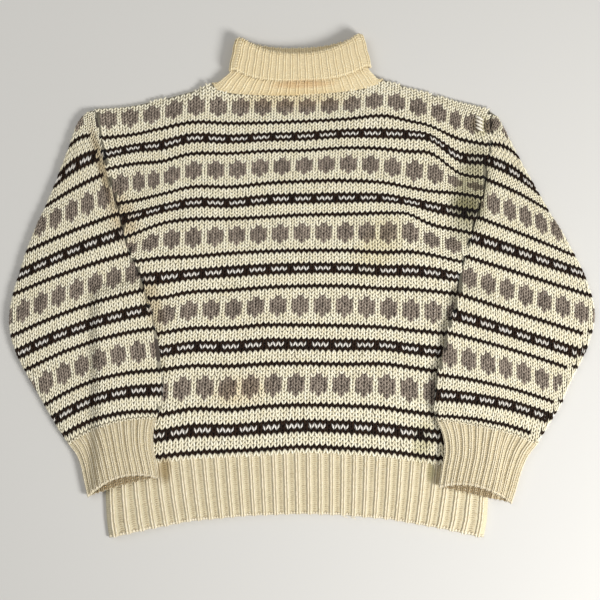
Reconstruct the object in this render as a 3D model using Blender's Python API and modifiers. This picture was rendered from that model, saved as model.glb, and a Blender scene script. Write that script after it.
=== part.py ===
"""Fair isle turtleneck sweater, laid flat on a surface with its sleeves folded down.

Sizes are in millimetres. X runs across the sweater, Y from hem to collar and Z up from the surface.
MM turns them to metres when a point goes into a mesh.
"""
import math

import bmesh
import bpy
from mathutils import Vector

MM = 0.001

# Points closer than this are one point, in metres
WELD = 0.00002

# The cloth: chunky stranded knitting in two layers with a little air between them
WALL = 4.0
HOLLOW = 2.3
SEAM = 0.3
HALF_SEAM = SEAM / 2
LAYERS = 2 * WALL + HOLLOW
FOLD = LAYERS / 2

# Knit one, purl one ribbing: a crest is a knit wale and a valley is a purl wale
RIB_CREST = 4.6
RIB_VALLEY = 3.0
HEM_RIBS = 33
CUFF_RIBS = 12
COLLAR_RIBS = 17

# Where a sleeve lies over the body, it rests this high above the surface
OVER_BODY = 11.2
RAMP = 24.0
UNDERARM_COURSE = 36.5
OVER_COURSE = 42.0

# The front comes down to the back over this width at the closed edges, where its outer face is
# rounded off: EDGE_SHARE of the wall is left at the very edge
CLOSING = 18.0
EDGE_SHARE = 0.45
ROUND_WIDTH = 14.0

# The whole outline is moved so that the origin is under the middle of its box
CENTRE_X = 0.0
CENTRE_Y = 1.5

RIB_CREAM = (0.74, 0.62, 0.40)
COLLAR_CREAM = (0.78, 0.64, 0.38)
PATTERNED = (0.52, 0.44, 0.34)

# Shoulder and neck edge from the left shoulder tip to the right one: x, front y, back y
TOP_EDGE = (
    (-301.2, 262.8, 262.8),
    (-273.0, 263.5, 263.5),
    (-245.0, 267.2, 267.2),
    (-203.0, 276.7, 276.7),
    (-162.0, 287.6, 287.6),
    (-134.3, 298.0, 298.0),
    (-124.0, 289.5, 295.0),
    (-105.0, 285.0, 293.0),
    (-75.0, 283.0, 291.5),
    (-40.0, 282.0, 291.0),
    (-7.0, 282.2, 291.0),
    (30.0, 284.8, 291.5),
    (62.0, 288.0, 293.0),
    (90.0, 292.0, 295.5),
    (108.0, 296.5, 299.0),
    (121.2, 303.7, 303.7),
    (165.0, 290.5, 290.5),
    (207.0, 278.0, 278.0),
    (242.0, 268.6, 268.6),
    (265.0, 264.5, 264.5),
    (275.9, 259.9, 259.9),
)
NECK_LEFT = -134.3
NECK_RIGHT = 121.2

# Sleeve courses from the shoulder tip to the cuff: course, outer x, y, inner x, y, bow, puff
# The inner end lies on the armhole down to the underarm, and then on the sleeve's inner fold
LEFT_SLEEVE = (
    (-10.0, -312.4, 258.4, -301.5, 259.9, 0.0, 0.0),
    (-6.0, -325.6, 245.3, -299.3, 243.8, 0.0, 0.3),
    (-3.0, -333.0, 229.2, -296.4, 232.1, 0.0, 0.8),
    (0.0, -341.0, 204.4, -294.2, 220.5, 0.0, 1.2),
    (5.0, -360.0, 154.0, -292.0, 207.3, 0.0, 1.8),
    (10.0, -375.2, 118.3, -285.4, 172.3, 0.0, 2.4),
    (15.5, -389.8, 87.6, -274.5, 138.7, 1.0, 3.0),
    (21.0, -403.8, 52.6, -267.9, 111.0, 2.0, 3.0),
    (26.0, -414.8, 17.5, -261.3, 81.8, 3.0, 3.0),
    (31.0, -423.4, -10.2, -251.1, 51.1, 4.0, 3.2),
    (36.5, -428.5, -43.8, -239.4, 23.4, 6.0, 3.4),
    (42.0, -426.3, -71.5, -229.2, -2.9, 7.0, 3.4),
    (47.0, -417.6, -97.8, -219.0, -30.7, 8.0, 3.2),
    (52.0, -405.9, -121.2, -213.2, -58.4, 10.0, 3.0),
    (57.5, -391.0, -147.4, -207.3, -89.1, 12.0, 3.0),
    (63.0, -377.0, -171.8, -204.4, -119.7, 14.0, 3.2),
    (68.0, -364.0, -194.7, -201.5, -147.5, 14.0, 3.4),
    (73.0, -350.4, -216.1, -207.3, -179.6, 13.0, 3.0),
    (75.0, -342.0, -227.8, -211.7, -189.3, 12.0, 2.4),
)
RIGHT_SLEEVE = (
    (-10.0, 285.5, 251.5, 275.9, 257.0, 0.0, 0.0),
    (-6.0, 294.0, 235.1, 275.9, 242.4, 0.0, 0.3),
    (-3.0, 302.0, 219.0, 275.9, 227.8, 0.0, 0.8),
    (0.0, 316.8, 189.1, 275.9, 213.2, 0.0, 1.2),
    (5.0, 343.0, 143.0, 270.8, 186.9, 0.0, 1.8),
    (10.0, 360.6, 112.4, 268.6, 160.6, 0.0, 2.4),
    (15.5, 381.0, 80.7, 262.1, 128.5, 0.0, 3.0),
    (21.0, 399.3, 46.7, 255.5, 103.7, 0.0, 3.4),
    (26.0, 412.7, 20.4, 246.0, 75.9, 0.0, 3.4),
    (31.0, 424.1, -11.7, 238.0, 46.7, 0.0, 3.2),
    (36.5, 428.5, -40.9, 230.7, 19.0, 0.0, 3.0),
    (42.0, 423.4, -70.1, 226.3, -8.8, 0.0, 3.0),
    (47.0, 413.2, -98.6, 217.5, -38.0, 1.0, 3.0),
    (52.0, 401.5, -121.2, 208.8, -64.2, 3.0, 3.2),
    (57.5, 389.8, -146.0, 203.8, -96.4, 5.0, 3.4),
    (63.0, 379.6, -170.8, 195.6, -125.6, 6.0, 3.4),
    (68.0, 366.9, -191.3, 192.7, -154.8, 8.0, 3.2),
    (73.0, 350.9, -218.0, 192.7, -185.4, 8.0, 3.0),
    (75.0, 344.6, -227.8, 197.1, -192.6, 7.0, 2.4),
)
ARMHOLE_ROWS = 12

# Where the inner edges of the sleeves lie on the front: minus y, x. The folds of the front fade out there
LEFT_INNER = tuple((-row[4], row[3]) for row in LEFT_SLEEVE) + ((275.9, -207.3), (300.0, -330.0))
RIGHT_INNER = tuple((-row[4], row[3]) for row in RIGHT_SLEEVE) + ((289.1, 198.6), (310.0, 330.0))
FADE_FROM = 4.0
FADE_TO = 34.0

# Cuff rings from the sleeve to the open end: outer x, y, inner x, y, bow, puff
LEFT_CUFF = (
    (-341.5, -228.7, -212.0, -190.2, 12.0, 2.4),
    (-331.0, -242.8, -215.6, -206.3, 10.0, 3.0),
    (-324.1, -259.9, -216.1, -229.2, 8.0, 3.0),
    (-319.0, -283.2, -211.7, -252.6, 6.0, 3.0),
    (-313.9, -305.6, -207.3, -275.9, 4.0, 3.4),
)
RIGHT_CUFF = (
    (344.0, -228.7, 197.3, -193.6, 7.0, 2.4),
    (331.0, -245.7, 204.4, -212.2, 5.0, 3.0),
    (321.2, -268.6, 207.3, -235.1, 3.0, 3.0),
    (313.9, -293.9, 202.9, -261.3, 2.0, 3.0),
    (307.3, -315.0, 198.6, -289.1, 1.0, 3.2),
)

# The body's sides below the underarm: y, left x, right x
SIDES = (
    (-370.0, -281.8, 265.2),
    (-340.0, -286.0, 271.0),
    (-305.0, -287.6, 273.0),
    (-235.0, -287.6, 273.0),
    (-27.0, -289.0, 274.5),
    (20.0, -289.0, 274.5),
)
UNDERARM_OUT_Y = -27.0

# The line where the hem rib starts, and the hem's lower edge: x, upper y, lower y
HEM = (
    (-294.0, -261.3, -368.5),
    (-225.0, -252.0, -353.0),
    (-163.5, -245.3, -340.8),
    (-80.0, -239.5, -333.0),
    (-3.0, -237.3, -330.0),
    (60.0, -239.0, -332.0),
    (128.5, -244.6, -338.3),
    (205.0, -252.0, -352.0),
    (275.0, -260.5, -367.5),
)

# The largest soft folds of the front: x, y, length, angle from +Y in degrees, width, height
FOLDS = (
    (-58.0, -30.0, 120.0, 0.0, 13.0, 2.6),
    (72.0, 105.0, 200.0, 10.0, 16.0, 2.4),
    (118.0, 10.0, 190.0, 6.0, 18.0, -1.6),
    (-190.0, 120.0, 90.0, -28.0, 20.0, -1.8),
    (-150.0, 110.0, 90.0, -30.0, 20.0, 2.2),
    (222.0, 205.0, 110.0, 25.0, 16.0, -1.6),
    (190.0, 190.0, 120.0, 25.0, 18.0, 2.2),
    (20.0, -150.0, 130.0, -8.0, 20.0, 2.0),
    (-110.0, -165.0, 110.0, 6.0, 18.0, 1.8),
)

# Collar rings from the pick-up row over the rim to the turnover's edge, through the middle of the wall:
# centre x, half width, y at the side, front y, back y, front z, back z, hang, rib share
# A larger hang keeps the ring level in the middle and turns it up near the sides
COLLAR = (
    (-6.6, 125.6, 0.0, 0.0, 0.0, 8.3, 2.0, 0.0, 1.0),
    (-6.3, 117.0, 304.0, 291.0, 297.0, 9.6, 2.9, 3.0, 1.0),
    (-5.2, 107.0, 309.0, 300.5, 304.5, 11.3, 6.3, 3.0, 1.0),
    (-4.2, 99.0, 318.0, 311.0, 313.0, 12.4, 6.7, 3.0, 1.0),
    (-3.7, 91.5, 345.0, 329.0, 337.0, 12.6, 6.7, 2.6, 0.3),
    (-3.7, 88.5, 357.0, 337.0, 347.0, 13.0, 6.5, 2.4, 0.0),
    (-3.7, 88.6, 364.0, 340.6, 350.4, 14.8, 4.8, 2.4, 0.5),
    (-3.7, 91.2, 364.5, 340.2, 350.0, 17.6, 2.4, 2.4, 1.0),
    (-3.7, 94.5, 357.5, 335.0, 345.0, 18.2, 1.9, 2.4, 1.0),
    (-3.5, 97.5, 343.0, 322.0, 333.0, 18.2, 1.8, 2.6, 1.0),
    (-3.2, 101.0, 331.0, 311.0, 321.0, 18.0, 1.8, 2.8, 1.0),
    (-3.0, 102.6, 319.5, 301.5, 311.0, 17.4, 1.8, 3.0, 1.0),
)
COLLAR_TILT = 2.8
# How far the collar stands off the shoulder seams at the two sides of the neck
SIDE_CLEAR = 1.8


def smooth(low, high, value):
    """0 below low, 1 above high, and an even S between them."""
    share = min(1.0, max(0.0, (value - low) / (high - low)))
    return share * share * (3.0 - 2.0 * share)


def mix(first, second, share):
    return first + (second - first) * share


def read(rows, key, column):
    """A column of a table at a value of its first column, on straight lines between rows."""
    if key <= rows[0][0]:
        return rows[0][column]
    for low, high in zip(rows, rows[1:]):
        if key <= high[0]:
            return mix(low[column], high[column], (key - low[0]) / (high[0] - low[0]))
    return rows[-1][column]


def side_x(side, y):
    return read(SIDES, y, 1 if side < 0 else 2)


def fold_height(x, y):
    """How far the soft folds lift or sink the front at a place."""
    height = 0.0
    for fold_x, fold_y, length, angle, width, lift in FOLDS:
        turn = math.radians(angle)
        across = (x - fold_x) * math.cos(turn) + (y - fold_y) * math.sin(turn)
        along = (y - fold_y) * math.cos(turn) - (x - fold_x) * math.sin(turn)
        height += lift * math.exp(-((across / width) ** 2) - (2.0 * along / length) ** 4)
    return height


def clear_of_sleeves(x, y):
    """1 on the open front, 0 under the sleeves and at the armholes."""
    left = x - read(LEFT_INNER, -y, 1)
    right = read(RIGHT_INNER, -y, 1) - x
    return smooth(FADE_FROM, FADE_TO, left) * smooth(FADE_FROM, FADE_TO, right)


def edge_distance(x, y):
    """How far a place lies inside the closed edges: the sides, the hidden step and the shoulders."""
    left = x - side_x(-1, y)
    right = side_x(1, y) - x
    if y > LEFT_SLEEVE[11][4]:
        left = CLOSING
    if y > RIGHT_SLEEVE[11][4]:
        right = CLOSING
    top = read(TOP_EDGE, x, 1) - y
    if NECK_LEFT < x < NECK_RIGHT:
        top = CLOSING
    near_neck = min(abs(x - NECK_LEFT), abs(x - NECK_RIGHT))
    if not NECK_LEFT < x < NECK_RIGHT:
        top += CLOSING * (1.0 - smooth(0.0, CLOSING, near_neck))
    return max(0.0, min(left, right, top))


def front_inside_z(x, y):
    closed = smooth(0.0, CLOSING, edge_distance(x, y))
    lift = fold_height(x, y) * clear_of_sleeves(x, y) * closed
    return WALL + mix(SEAM, HOLLOW, closed) + lift


def rounded(x, y):
    """The share of the wall's thickness that is left near a closed edge."""
    return mix(EDGE_SHARE, 1.0, math.sqrt(smooth(0.0, ROUND_WIDTH, edge_distance(x, y))))


def put(x, y, z):
    return Vector(((x - CENTRE_X) * MM, (y - CENTRE_Y) * MM, z * MM))


def grid_mesh(columns, rows):
    """A flat grid whose points can be found again by column and row."""
    bm = bmesh.new()
    bm.verts.layers.deform.verify()
    bmesh.ops.create_grid(bm, x_segments=columns, y_segments=rows, size=0.5)
    places = {}
    for vert in bm.verts:
        column = round((vert.co.x + 0.5) * columns)
        row = round((vert.co.y + 0.5) * rows)
        places[vert] = (column, row)
    return bm, places


def finish(bm, name, colour, collection):
    """Puts a mesh in the sweater's collection under its own woollen material."""
    mesh = bpy.data.meshes.new(name)
    bm.to_mesh(mesh)
    bm.free()
    mesh.shade_smooth()
    mesh.set_sharp_from_angle(angle=math.radians(50))
    ob = bpy.data.objects.new(name, mesh)
    material = bpy.data.materials.new(name + "_wool")
    material.use_nodes = True
    shader = material.node_tree.nodes["Principled BSDF"]
    shader.inputs["Base Color"].default_value = (*colour, 1.0)
    shader.inputs["Roughness"].default_value = 0.9
    shader.inputs["Metallic"].default_value = 0.0
    mesh.materials.append(material)
    collection.objects.link(ob)
    return ob


def raised_sheet(name, colour, collection, columns, rows, keep, plan, under, thickness):
    """A panel: a grid placed by plan, dropped to its underside and drawn straight up by its wall."""
    bm, places = grid_mesh(columns, rows)
    unused = []
    for face in bm.faces:
        low_column = min(places[v][0] for v in face.verts)
        low_row = min(places[v][1] for v in face.verts)
        if not keep(low_column, low_row):
            unused.append(face)
    bmesh.ops.delete(bm, geom=unused, context="FACES")
    walls = {}
    for vert in bm.verts:
        column, row = places[vert]
        x, y = plan(column, row)
        vert.co = put(x, y, under(x, y))
        walls[column, row] = thickness(x, y, column)
    kept = {vert: places[vert] for vert in bm.verts}
    drawn = bmesh.ops.extrude_face_region(bm, geom=list(bm.faces), use_keep_orig=True)
    by_plan = {}
    for vert, spot in kept.items():
        by_plan[round(vert.co.x, 7), round(vert.co.y, 7)] = spot
    for item in drawn["geom"]:
        if isinstance(item, bmesh.types.BMVert):
            spot = by_plan[round(item.co.x, 7), round(item.co.y, 7)]
            item.co.z += walls[spot] * MM
    bmesh.ops.recalc_face_normals(bm, faces=list(bm.faces))
    return finish(bm, name, colour, collection)


# Columns of the body: strips outside the armholes, and the middle from one armhole to the other
STRIP = 3


def middle_shares(most):
    """Shares across the middle, one at each row of TOP_EDGE, and more where these lie far apart."""
    first = TOP_EDGE[0][0]
    span = TOP_EDGE[-1][0] - first
    shares = [0.0]
    for low, high in zip(TOP_EDGE, TOP_EDGE[1:]):
        parts = max(1, math.ceil((high[0] - low[0]) / most))
        for step in range(1, parts + 1):
            shares.append((mix(low[0], high[0], step / parts) - first) / span)
    return shares


def body_plan(shares, lower_rows, top_column):
    """Places a column and row of a body panel on its outline."""
    last = len(shares) - 1

    def plan(column, row):
        over = row - lower_rows
        index = min(max(over, 0), ARMHOLE_ROWS)
        armhole = ARMHOLE_ROWS - 1 - min(index, ARMHOLE_ROWS - 1)
        left = LEFT_SLEEVE[armhole]
        right = RIGHT_SLEEVE[armhole]
        left_x, left_y = left[3] + HALF_SEAM, left[4]
        right_x, right_y = right[3] - HALF_SEAM, right[4]
        if index == ARMHOLE_ROWS:
            left_x, left_y = TOP_EDGE[0][0], TOP_EDGE[0][1]
            right_x, right_y = TOP_EDGE[-1][0], TOP_EDGE[-1][1]
        middle = column - STRIP
        under_left = LEFT_SLEEVE[ARMHOLE_ROWS - 1][4]
        under_right = RIGHT_SLEEVE[ARMHOLE_ROWS - 1][4]
        if 0 <= middle <= last:
            share = shares[middle]
            x = mix(left_x, right_x, share)
            base = mix(under_left, under_right, share)
            if over >= 0:
                top = read(TOP_EDGE, x, top_column)
                up_left = (left_y - under_left) / (TOP_EDGE[0][1] - under_left)
                up_right = (right_y - under_right) / (TOP_EDGE[-1][1] - under_right)
                y = mix(base, top, mix(up_left, up_right, share))
                if index == ARMHOLE_ROWS and NECK_LEFT < x < NECK_RIGHT:
                    y -= SEAM
                return x, y
        elif middle < 0:
            share = -middle / STRIP
            base = mix(under_left, UNDERARM_OUT_Y, share)
        else:
            share = (middle - last) / STRIP
            base = mix(under_right, UNDERARM_OUT_Y, share)
        up = row / lower_rows
        y = base
        for _ in range(2):
            if middle < 0:
                x = mix(left_x, side_x(-1, y), share)
            elif middle > last:
                x = mix(right_x, side_x(1, y), share)
            y = mix(read(HEM, x, 1) + HALF_SEAM, base, up)
        return x, y

    def keep(column, row):
        return row < lower_rows or STRIP <= column < STRIP + last

    return plan, keep


def body_panel(name, collection, most, lower_rows, top_column, under, thickness):
    shares = middle_shares(most)
    plan, keep = body_plan(shares, lower_rows, top_column)
    columns = len(shares) - 1 + 2 * STRIP
    rows = lower_rows + ARMHOLE_ROWS
    raised_sheet(name, PATTERNED, collection, columns, rows, keep, plan, under, thickness)


def front_panel(collection):
    def thickness(x, y, column):
        return WALL * rounded(x, y)

    body_panel("front_panel", collection, 24.0, 9, 1, front_inside_z, thickness)


def back_panel(collection):
    def flat(x, y):
        return 0.0

    def thickness(x, y, column):
        return WALL

    body_panel("back_panel", collection, 60.0, 4, 2, flat, thickness)


def hem_plan(columns, rows):
    def plan(column, row):
        share = column / columns
        y = HEM[0][2]
        for _ in range(3):
            x = mix(side_x(-1, y), side_x(1, y), share)
            y = mix(read(HEM, x, 2), read(HEM, x, 1) - HALF_SEAM, row / rows)
        return x, y

    return plan


def every_cell(column, row):
    return True


def front_hem_rib(collection):
    columns = 2 * HEM_RIBS
    rows = 3

    def thickness(x, y, column):
        rib = RIB_CREST if column % 2 else RIB_VALLEY
        return rib * rounded(x, y)

    raised_sheet(
        "front_hem_rib", RIB_CREAM, collection, columns, rows, every_cell,
        hem_plan(columns, rows), front_inside_z, thickness,
    )


def back_hem_rib(collection):
    columns = 16
    rows = 2

    def flat(x, y):
        return 0.0

    def thickness(x, y, column):
        return WALL

    raised_sheet(
        "back_hem_rib", RIB_CREAM, collection, columns, rows, every_cell,
        hem_plan(columns, rows), flat, thickness,
    )


def lift(side, x, y, course):
    """How high the underside of a sleeve or cuff lies: on the surface, or over the body."""
    inward = (side_x(side, y) - x) * side
    onto = smooth(-RAMP, -1.0, inward)
    return OVER_BODY * onto * smooth(UNDERARM_COURSE, OVER_COURSE, course)


def section(under_parts, top_parts):
    """The steps round a flattened tube, from the inner end of its underside to that of its top.

    Each is (part, value): the value is an angle in degrees on a fold, and a share across a layer.
    """
    steps = [("inner_low", 90.0), ("inner_low", 45.0)]
    steps += [("under", part / under_parts) for part in range(under_parts + 1)]
    steps += [("outer", angle) for angle in (30.0, 60.0, 90.0, 120.0, 150.0)]
    steps += [("top", 1.0 - part / top_parts) for part in range(top_parts + 1)]
    steps += [("inner_high", 45.0), ("inner_high", 90.0)]
    return steps


def ring_place(side, row, closed, course, step, raise_by):
    """A point of the tube's outer skin at one ring."""
    outer_x, outer_y, inner_x, inner_y, bow, puff = row
    across = Vector((outer_x - inner_x, outer_y - inner_y))
    width = across.length
    across.normalize()
    upward = Vector((-across.y, across.x)) * (1.0 if side > 0 else -1.0)
    part, value = step
    turn = math.radians(value)
    top = 0.0
    if part == "outer":
        reach = width - FOLD + (FOLD + raise_by) * math.sin(turn)
        rise = FOLD - (FOLD + raise_by) * math.cos(turn)
    elif part in ("under", "top"):
        reach = mix(FOLD, width - FOLD, value)
        rise = 0.0 if part == "under" else LAYERS + raise_by
        top = 1.0 if part == "top" else 0.0
    else:
        straight = FOLD * (1.0 - value / 90.0)
        bent = FOLD * (1.0 - math.sin(turn))
        reach = mix(straight, bent, closed) + HALF_SEAM
        rise = closed * FOLD * (1.0 - math.cos(turn))
        if part == "inner_high":
            rise = LAYERS - rise + raise_by * (1.0 - value / 90.0)
    share = reach / width
    place = Vector((inner_x, inner_y)) + across * reach + upward * bow * 4.0 * share * (1.0 - share)
    dome = top * puff * math.sin(math.pi * min(1.0, max(0.0, share))) ** 0.6
    z = lift(side, place.x, place.y, course) + rise + dome
    return place.x, place.y, z


def draw_wall(ob, thickness, offset):
    """Gives a knitted skin its wall, as thick at each point as the point's weight says."""
    ob.vertex_groups.new(name="wall")
    wall = ob.modifiers.new("wall", "SOLIDIFY")
    wall.thickness = thickness * MM
    wall.offset = offset
    wall.use_even_offset = True
    wall.vertex_group = "wall"


def tube(name, colour, collection, steps, rings, place, thick):
    """A knitted tube: its outer skin as a grid round the section, and the wall drawn inward."""
    columns = len(steps) - 1
    bm, places = grid_mesh(columns, len(rings) - 1)
    group = bm.verts.layers.deform.verify()
    full = max(thick(step) for step in steps)
    for vert in bm.verts:
        column, row = places[vert]
        x, y, z = place(steps[column], rings[row])
        vert.co = put(x, y, z)
        vert[group][0] = thick(steps[column]) / full
    bmesh.ops.remove_doubles(bm, verts=list(bm.verts), dist=WELD)
    draw_wall(finish(bm, name, colour, collection), full, -1.0)


def sleeve(name, side, table, collection):
    steps = section(7, 9)

    def place(step, row):
        closed = smooth(26.0, UNDERARM_COURSE, row[0])
        return ring_place(side, row[1:], closed, row[0], step, 0.0)

    rings = table if side > 0 else table[::-1]
    tube(name, PATTERNED, collection, steps, rings, place, lambda step: WALL)


def cuff(name, side, table, collection):
    steps = section(7, 2 * CUFF_RIBS)
    crest = RIB_CREST - RIB_VALLEY

    def raised(step):
        if step[0] != "top":
            return 0.0
        return crest * (round((1.0 - step[1]) * 2 * CUFF_RIBS) % 2)

    def place(step, row):
        return ring_place(side, row, 1.0, OVER_COURSE, step, raised(step))

    def thick(step):
        return WALL + raised(step)

    rings = table if side > 0 else table[::-1]
    tube(name, RIB_CREAM, collection, steps, rings, place, thick)


def collar_steps():
    """Steps round the collar: the front's ribs from left to right, a side fold, the back's, a side fold.

    Each is (side of the neck, value): a share from -1 to 1 across a layer, or an angle on a fold.
    """
    parts = 2 * COLLAR_RIBS
    steps = [("front", mix(-1.0, 1.0, part / parts)) for part in range(parts + 1)]
    steps += [("right", angle) for angle in (45.0, 90.0, 135.0)]
    steps += [("back", mix(1.0, -1.0, part / parts)) for part in range(parts + 1)]
    steps += [("left", angle) for angle in (135.0, 90.0, 45.0)]
    return steps


def collar_place(step, row):
    """A point in the middle of the collar's wall."""
    centre, half, side_y, front_y, back_y, front_z, back_z, hang, _ = row
    radius = (front_z - back_z) / 2
    where, value = step
    flat = half - radius
    if where in ("front", "back"):
        x = centre + flat * value
        z = front_z if where == "front" else back_z
        dip = abs(value) ** hang if hang else 0.0
        y = mix(front_y if where == "front" else back_y, side_y, dip)
    else:
        way = 1.0 if where == "right" else -1.0
        turn = math.radians(value)
        x = centre + way * (flat + radius * math.sin(turn))
        z = mix(back_z, front_z, 0.5 + 0.5 * math.cos(turn))
        y = side_y
    y += COLLAR_TILT * (x - centre) / half
    if not hang:
        along = min(max(x, NECK_LEFT), NECK_RIGHT)
        front = read(TOP_EDGE, along, 1)
        back = read(TOP_EDGE, along, 2)
        clear = 2 * SEAM + SIDE_CLEAR * abs((x - centre) / half) ** 12
        y = front + clear
        if where == "back":
            y = back + clear
        elif where != "front":
            y = max(front, back) + clear
    return x, y, z


def collar(collection):
    """The collar in one tube. Its front is ribbed, and its back, which lies underneath, is plain."""
    steps = collar_steps()
    columns = len(steps)
    bm, places = grid_mesh(columns, len(COLLAR) - 1)
    group = bm.verts.layers.deform.verify()
    for vert in bm.verts:
        column, row = places[vert]
        step = steps[column % columns]
        x, y, z = collar_place(step, COLLAR[row])
        raised = 0.0
        if step[0] == "front":
            raised = (RIB_CREST - RIB_VALLEY) * (column % 2) * COLLAR[row][8]
        vert.co = put(x, y, z + raised / 2)
        vert[group][0] = (RIB_VALLEY + raised) / RIB_CREST
    bmesh.ops.remove_doubles(bm, verts=list(bm.verts), dist=WELD)
    draw_wall(finish(bm, "collar", COLLAR_CREAM, collection), RIB_CREST, 0.0)


for old in list(bpy.data.objects):
    bpy.data.objects.remove(old, do_unlink=True)
sweater = bpy.data.collections.new("fair_isle_turtleneck_sweater")
bpy.context.scene.collection.children.link(sweater)
back_panel(sweater)
back_hem_rib(sweater)
front_panel(sweater)
front_hem_rib(sweater)
sleeve("left_sleeve", -1, LEFT_SLEEVE, sweater)
sleeve("right_sleeve", 1, RIGHT_SLEEVE, sweater)
cuff("left_cuff", -1, LEFT_CUFF, sweater)
cuff("right_cuff", 1, RIGHT_CUFF, sweater)
collar(sweater)
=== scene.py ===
"""Looks of the fair isle turtleneck sweater, laid flat with its sleeves folded down.

The knitted pieces are shells of cloth. On the front, the sleeves, the ribs and the collar, the stitches stand
on them as lengths of yarn.
Sizes are in millimetres: X across the sweater, Y from hem to collar, Z up from the surface.
"""
import math

import bmesh
import bpy
import numpy as np
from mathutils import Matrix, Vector


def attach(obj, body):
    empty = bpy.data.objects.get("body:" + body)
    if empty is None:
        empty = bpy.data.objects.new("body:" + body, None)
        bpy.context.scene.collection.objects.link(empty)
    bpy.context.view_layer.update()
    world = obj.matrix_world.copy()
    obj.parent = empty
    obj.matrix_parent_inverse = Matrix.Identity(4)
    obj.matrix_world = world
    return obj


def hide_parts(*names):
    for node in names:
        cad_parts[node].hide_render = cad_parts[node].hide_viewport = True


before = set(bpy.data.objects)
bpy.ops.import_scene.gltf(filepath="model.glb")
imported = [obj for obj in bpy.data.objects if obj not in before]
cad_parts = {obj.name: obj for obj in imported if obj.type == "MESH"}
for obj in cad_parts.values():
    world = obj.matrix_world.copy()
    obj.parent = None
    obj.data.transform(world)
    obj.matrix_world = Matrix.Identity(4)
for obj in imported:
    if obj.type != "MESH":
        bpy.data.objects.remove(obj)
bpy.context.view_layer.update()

chance = np.random.default_rng(35)

# Back panel
# The rear half of the body, knitted in the same stranded wool as the front. It lies flat on the
# surface under everything else and shows only along its edges, so its pattern is in its colours.
MM = 0.001
CENTRE_Y = 1.5
WALL = 4.0
SEAM = 0.3
HALF_SEAM = SEAM / 2

# Shoulder and neck edge: x, front y, back y
TOP_EDGE = (
    (-301.2, 262.8, 262.8),
    (-273.0, 263.5, 263.5),
    (-245.0, 267.2, 267.2),
    (-203.0, 276.7, 276.7),
    (-162.0, 287.6, 287.6),
    (-134.3, 298.0, 298.0),
    (-124.0, 289.5, 295.0),
    (-105.0, 285.0, 293.0),
    (-75.0, 283.0, 291.5),
    (-40.0, 282.0, 291.0),
    (-7.0, 282.2, 291.0),
    (30.0, 284.8, 291.5),
    (62.0, 288.0, 293.0),
    (90.0, 292.0, 295.5),
    (108.0, 296.5, 299.0),
    (121.2, 303.7, 303.7),
    (165.0, 290.5, 290.5),
    (207.0, 278.0, 278.0),
    (242.0, 268.6, 268.6),
    (265.0, 264.5, 264.5),
    (275.9, 259.9, 259.9),
)
NECK_LEFT = -134.3
NECK_RIGHT = 121.2

# Sleeve courses from the shoulder tip to the cuff: course, outer x, y, inner x, y, bow, puff
LEFT_SLEEVE = (
    (-10.0, -312.4, 258.4, -301.5, 259.9, 0.0, 0.0),
    (-6.0, -325.6, 245.3, -299.3, 243.8, 2.0, 0.3),
    (-3.0, -333.0, 229.2, -296.4, 232.1, 6.0, 0.8),
    (0.0, -341.0, 204.4, -294.2, 220.5, 9.0, 1.2),
    (5.0, -360.0, 154.0, -289.8, 196.0, 7.0, 1.8),
    (10.0, -375.2, 118.3, -285.4, 168.0, 3.0, 2.4),
    (15.5, -389.8, 87.6, -274.5, 138.7, 2.0, 3.0),
    (21.0, -403.8, 52.6, -267.9, 109.0, 2.0, 3.0),
    (26.0, -414.8, 17.5, -261.3, 81.8, 3.0, 3.0),
    (31.0, -423.4, -10.2, -251.1, 51.1, 4.0, 3.2),
    (36.5, -428.5, -43.8, -239.4, 23.4, 6.0, 3.4),
    (42.0, -426.3, -71.5, -229.2, -2.9, 7.0, 3.4),
    (47.0, -417.6, -97.8, -219.0, -30.7, 8.0, 3.2),
    (52.0, -405.9, -121.2, -213.2, -58.4, 10.0, 3.0),
    (57.5, -391.0, -147.4, -207.3, -89.1, 12.0, 3.0),
    (63.0, -377.0, -171.8, -204.4, -119.7, 14.0, 3.2),
    (68.0, -364.0, -194.7, -201.5, -147.5, 14.0, 3.4),
    (73.0, -350.4, -216.1, -207.3, -179.6, 13.0, 3.0),
    (75.0, -342.0, -227.8, -211.7, -189.3, 12.0, 2.4),
)
RIGHT_SLEEVE = (
    (-10.0, 285.5, 251.5, 275.9, 257.0, 0.0, 0.0),
    (-6.0, 294.0, 235.1, 275.9, 242.4, 2.0, 0.3),
    (-3.0, 302.0, 219.0, 275.9, 227.8, 4.0, 0.8),
    (0.0, 316.8, 189.1, 275.9, 210.4, 6.0, 1.2),
    (5.0, 343.0, 143.0, 270.8, 186.9, 5.0, 1.8),
    (10.0, 360.6, 112.4, 268.6, 159.0, 3.0, 2.4),
    (15.5, 381.0, 80.7, 262.1, 128.5, 2.0, 3.0),
    (21.0, 399.3, 46.7, 255.5, 103.7, 1.0, 3.4),
    (26.0, 412.7, 20.4, 246.0, 75.9, 0.0, 3.4),
    (31.0, 424.1, -11.7, 238.0, 46.7, 0.0, 3.2),
    (36.5, 428.5, -40.9, 230.7, 19.0, 0.0, 3.0),
    (42.0, 423.4, -70.1, 226.3, -8.8, 0.0, 3.0),
    (47.0, 413.2, -98.6, 217.5, -38.0, 1.0, 3.0),
    (52.0, 401.5, -121.2, 208.8, -64.2, 3.0, 3.2),
    (57.5, 389.8, -146.0, 203.8, -96.4, 5.0, 3.4),
    (63.0, 379.6, -170.8, 195.6, -125.6, 6.0, 3.4),
    (68.0, 366.9, -191.3, 192.7, -154.8, 8.0, 3.2),
    (73.0, 350.9, -218.0, 192.7, -185.4, 8.0, 3.0),
    (75.0, 344.6, -227.8, 197.1, -192.6, 7.0, 2.4),
)
UNDERARM = 11

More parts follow.
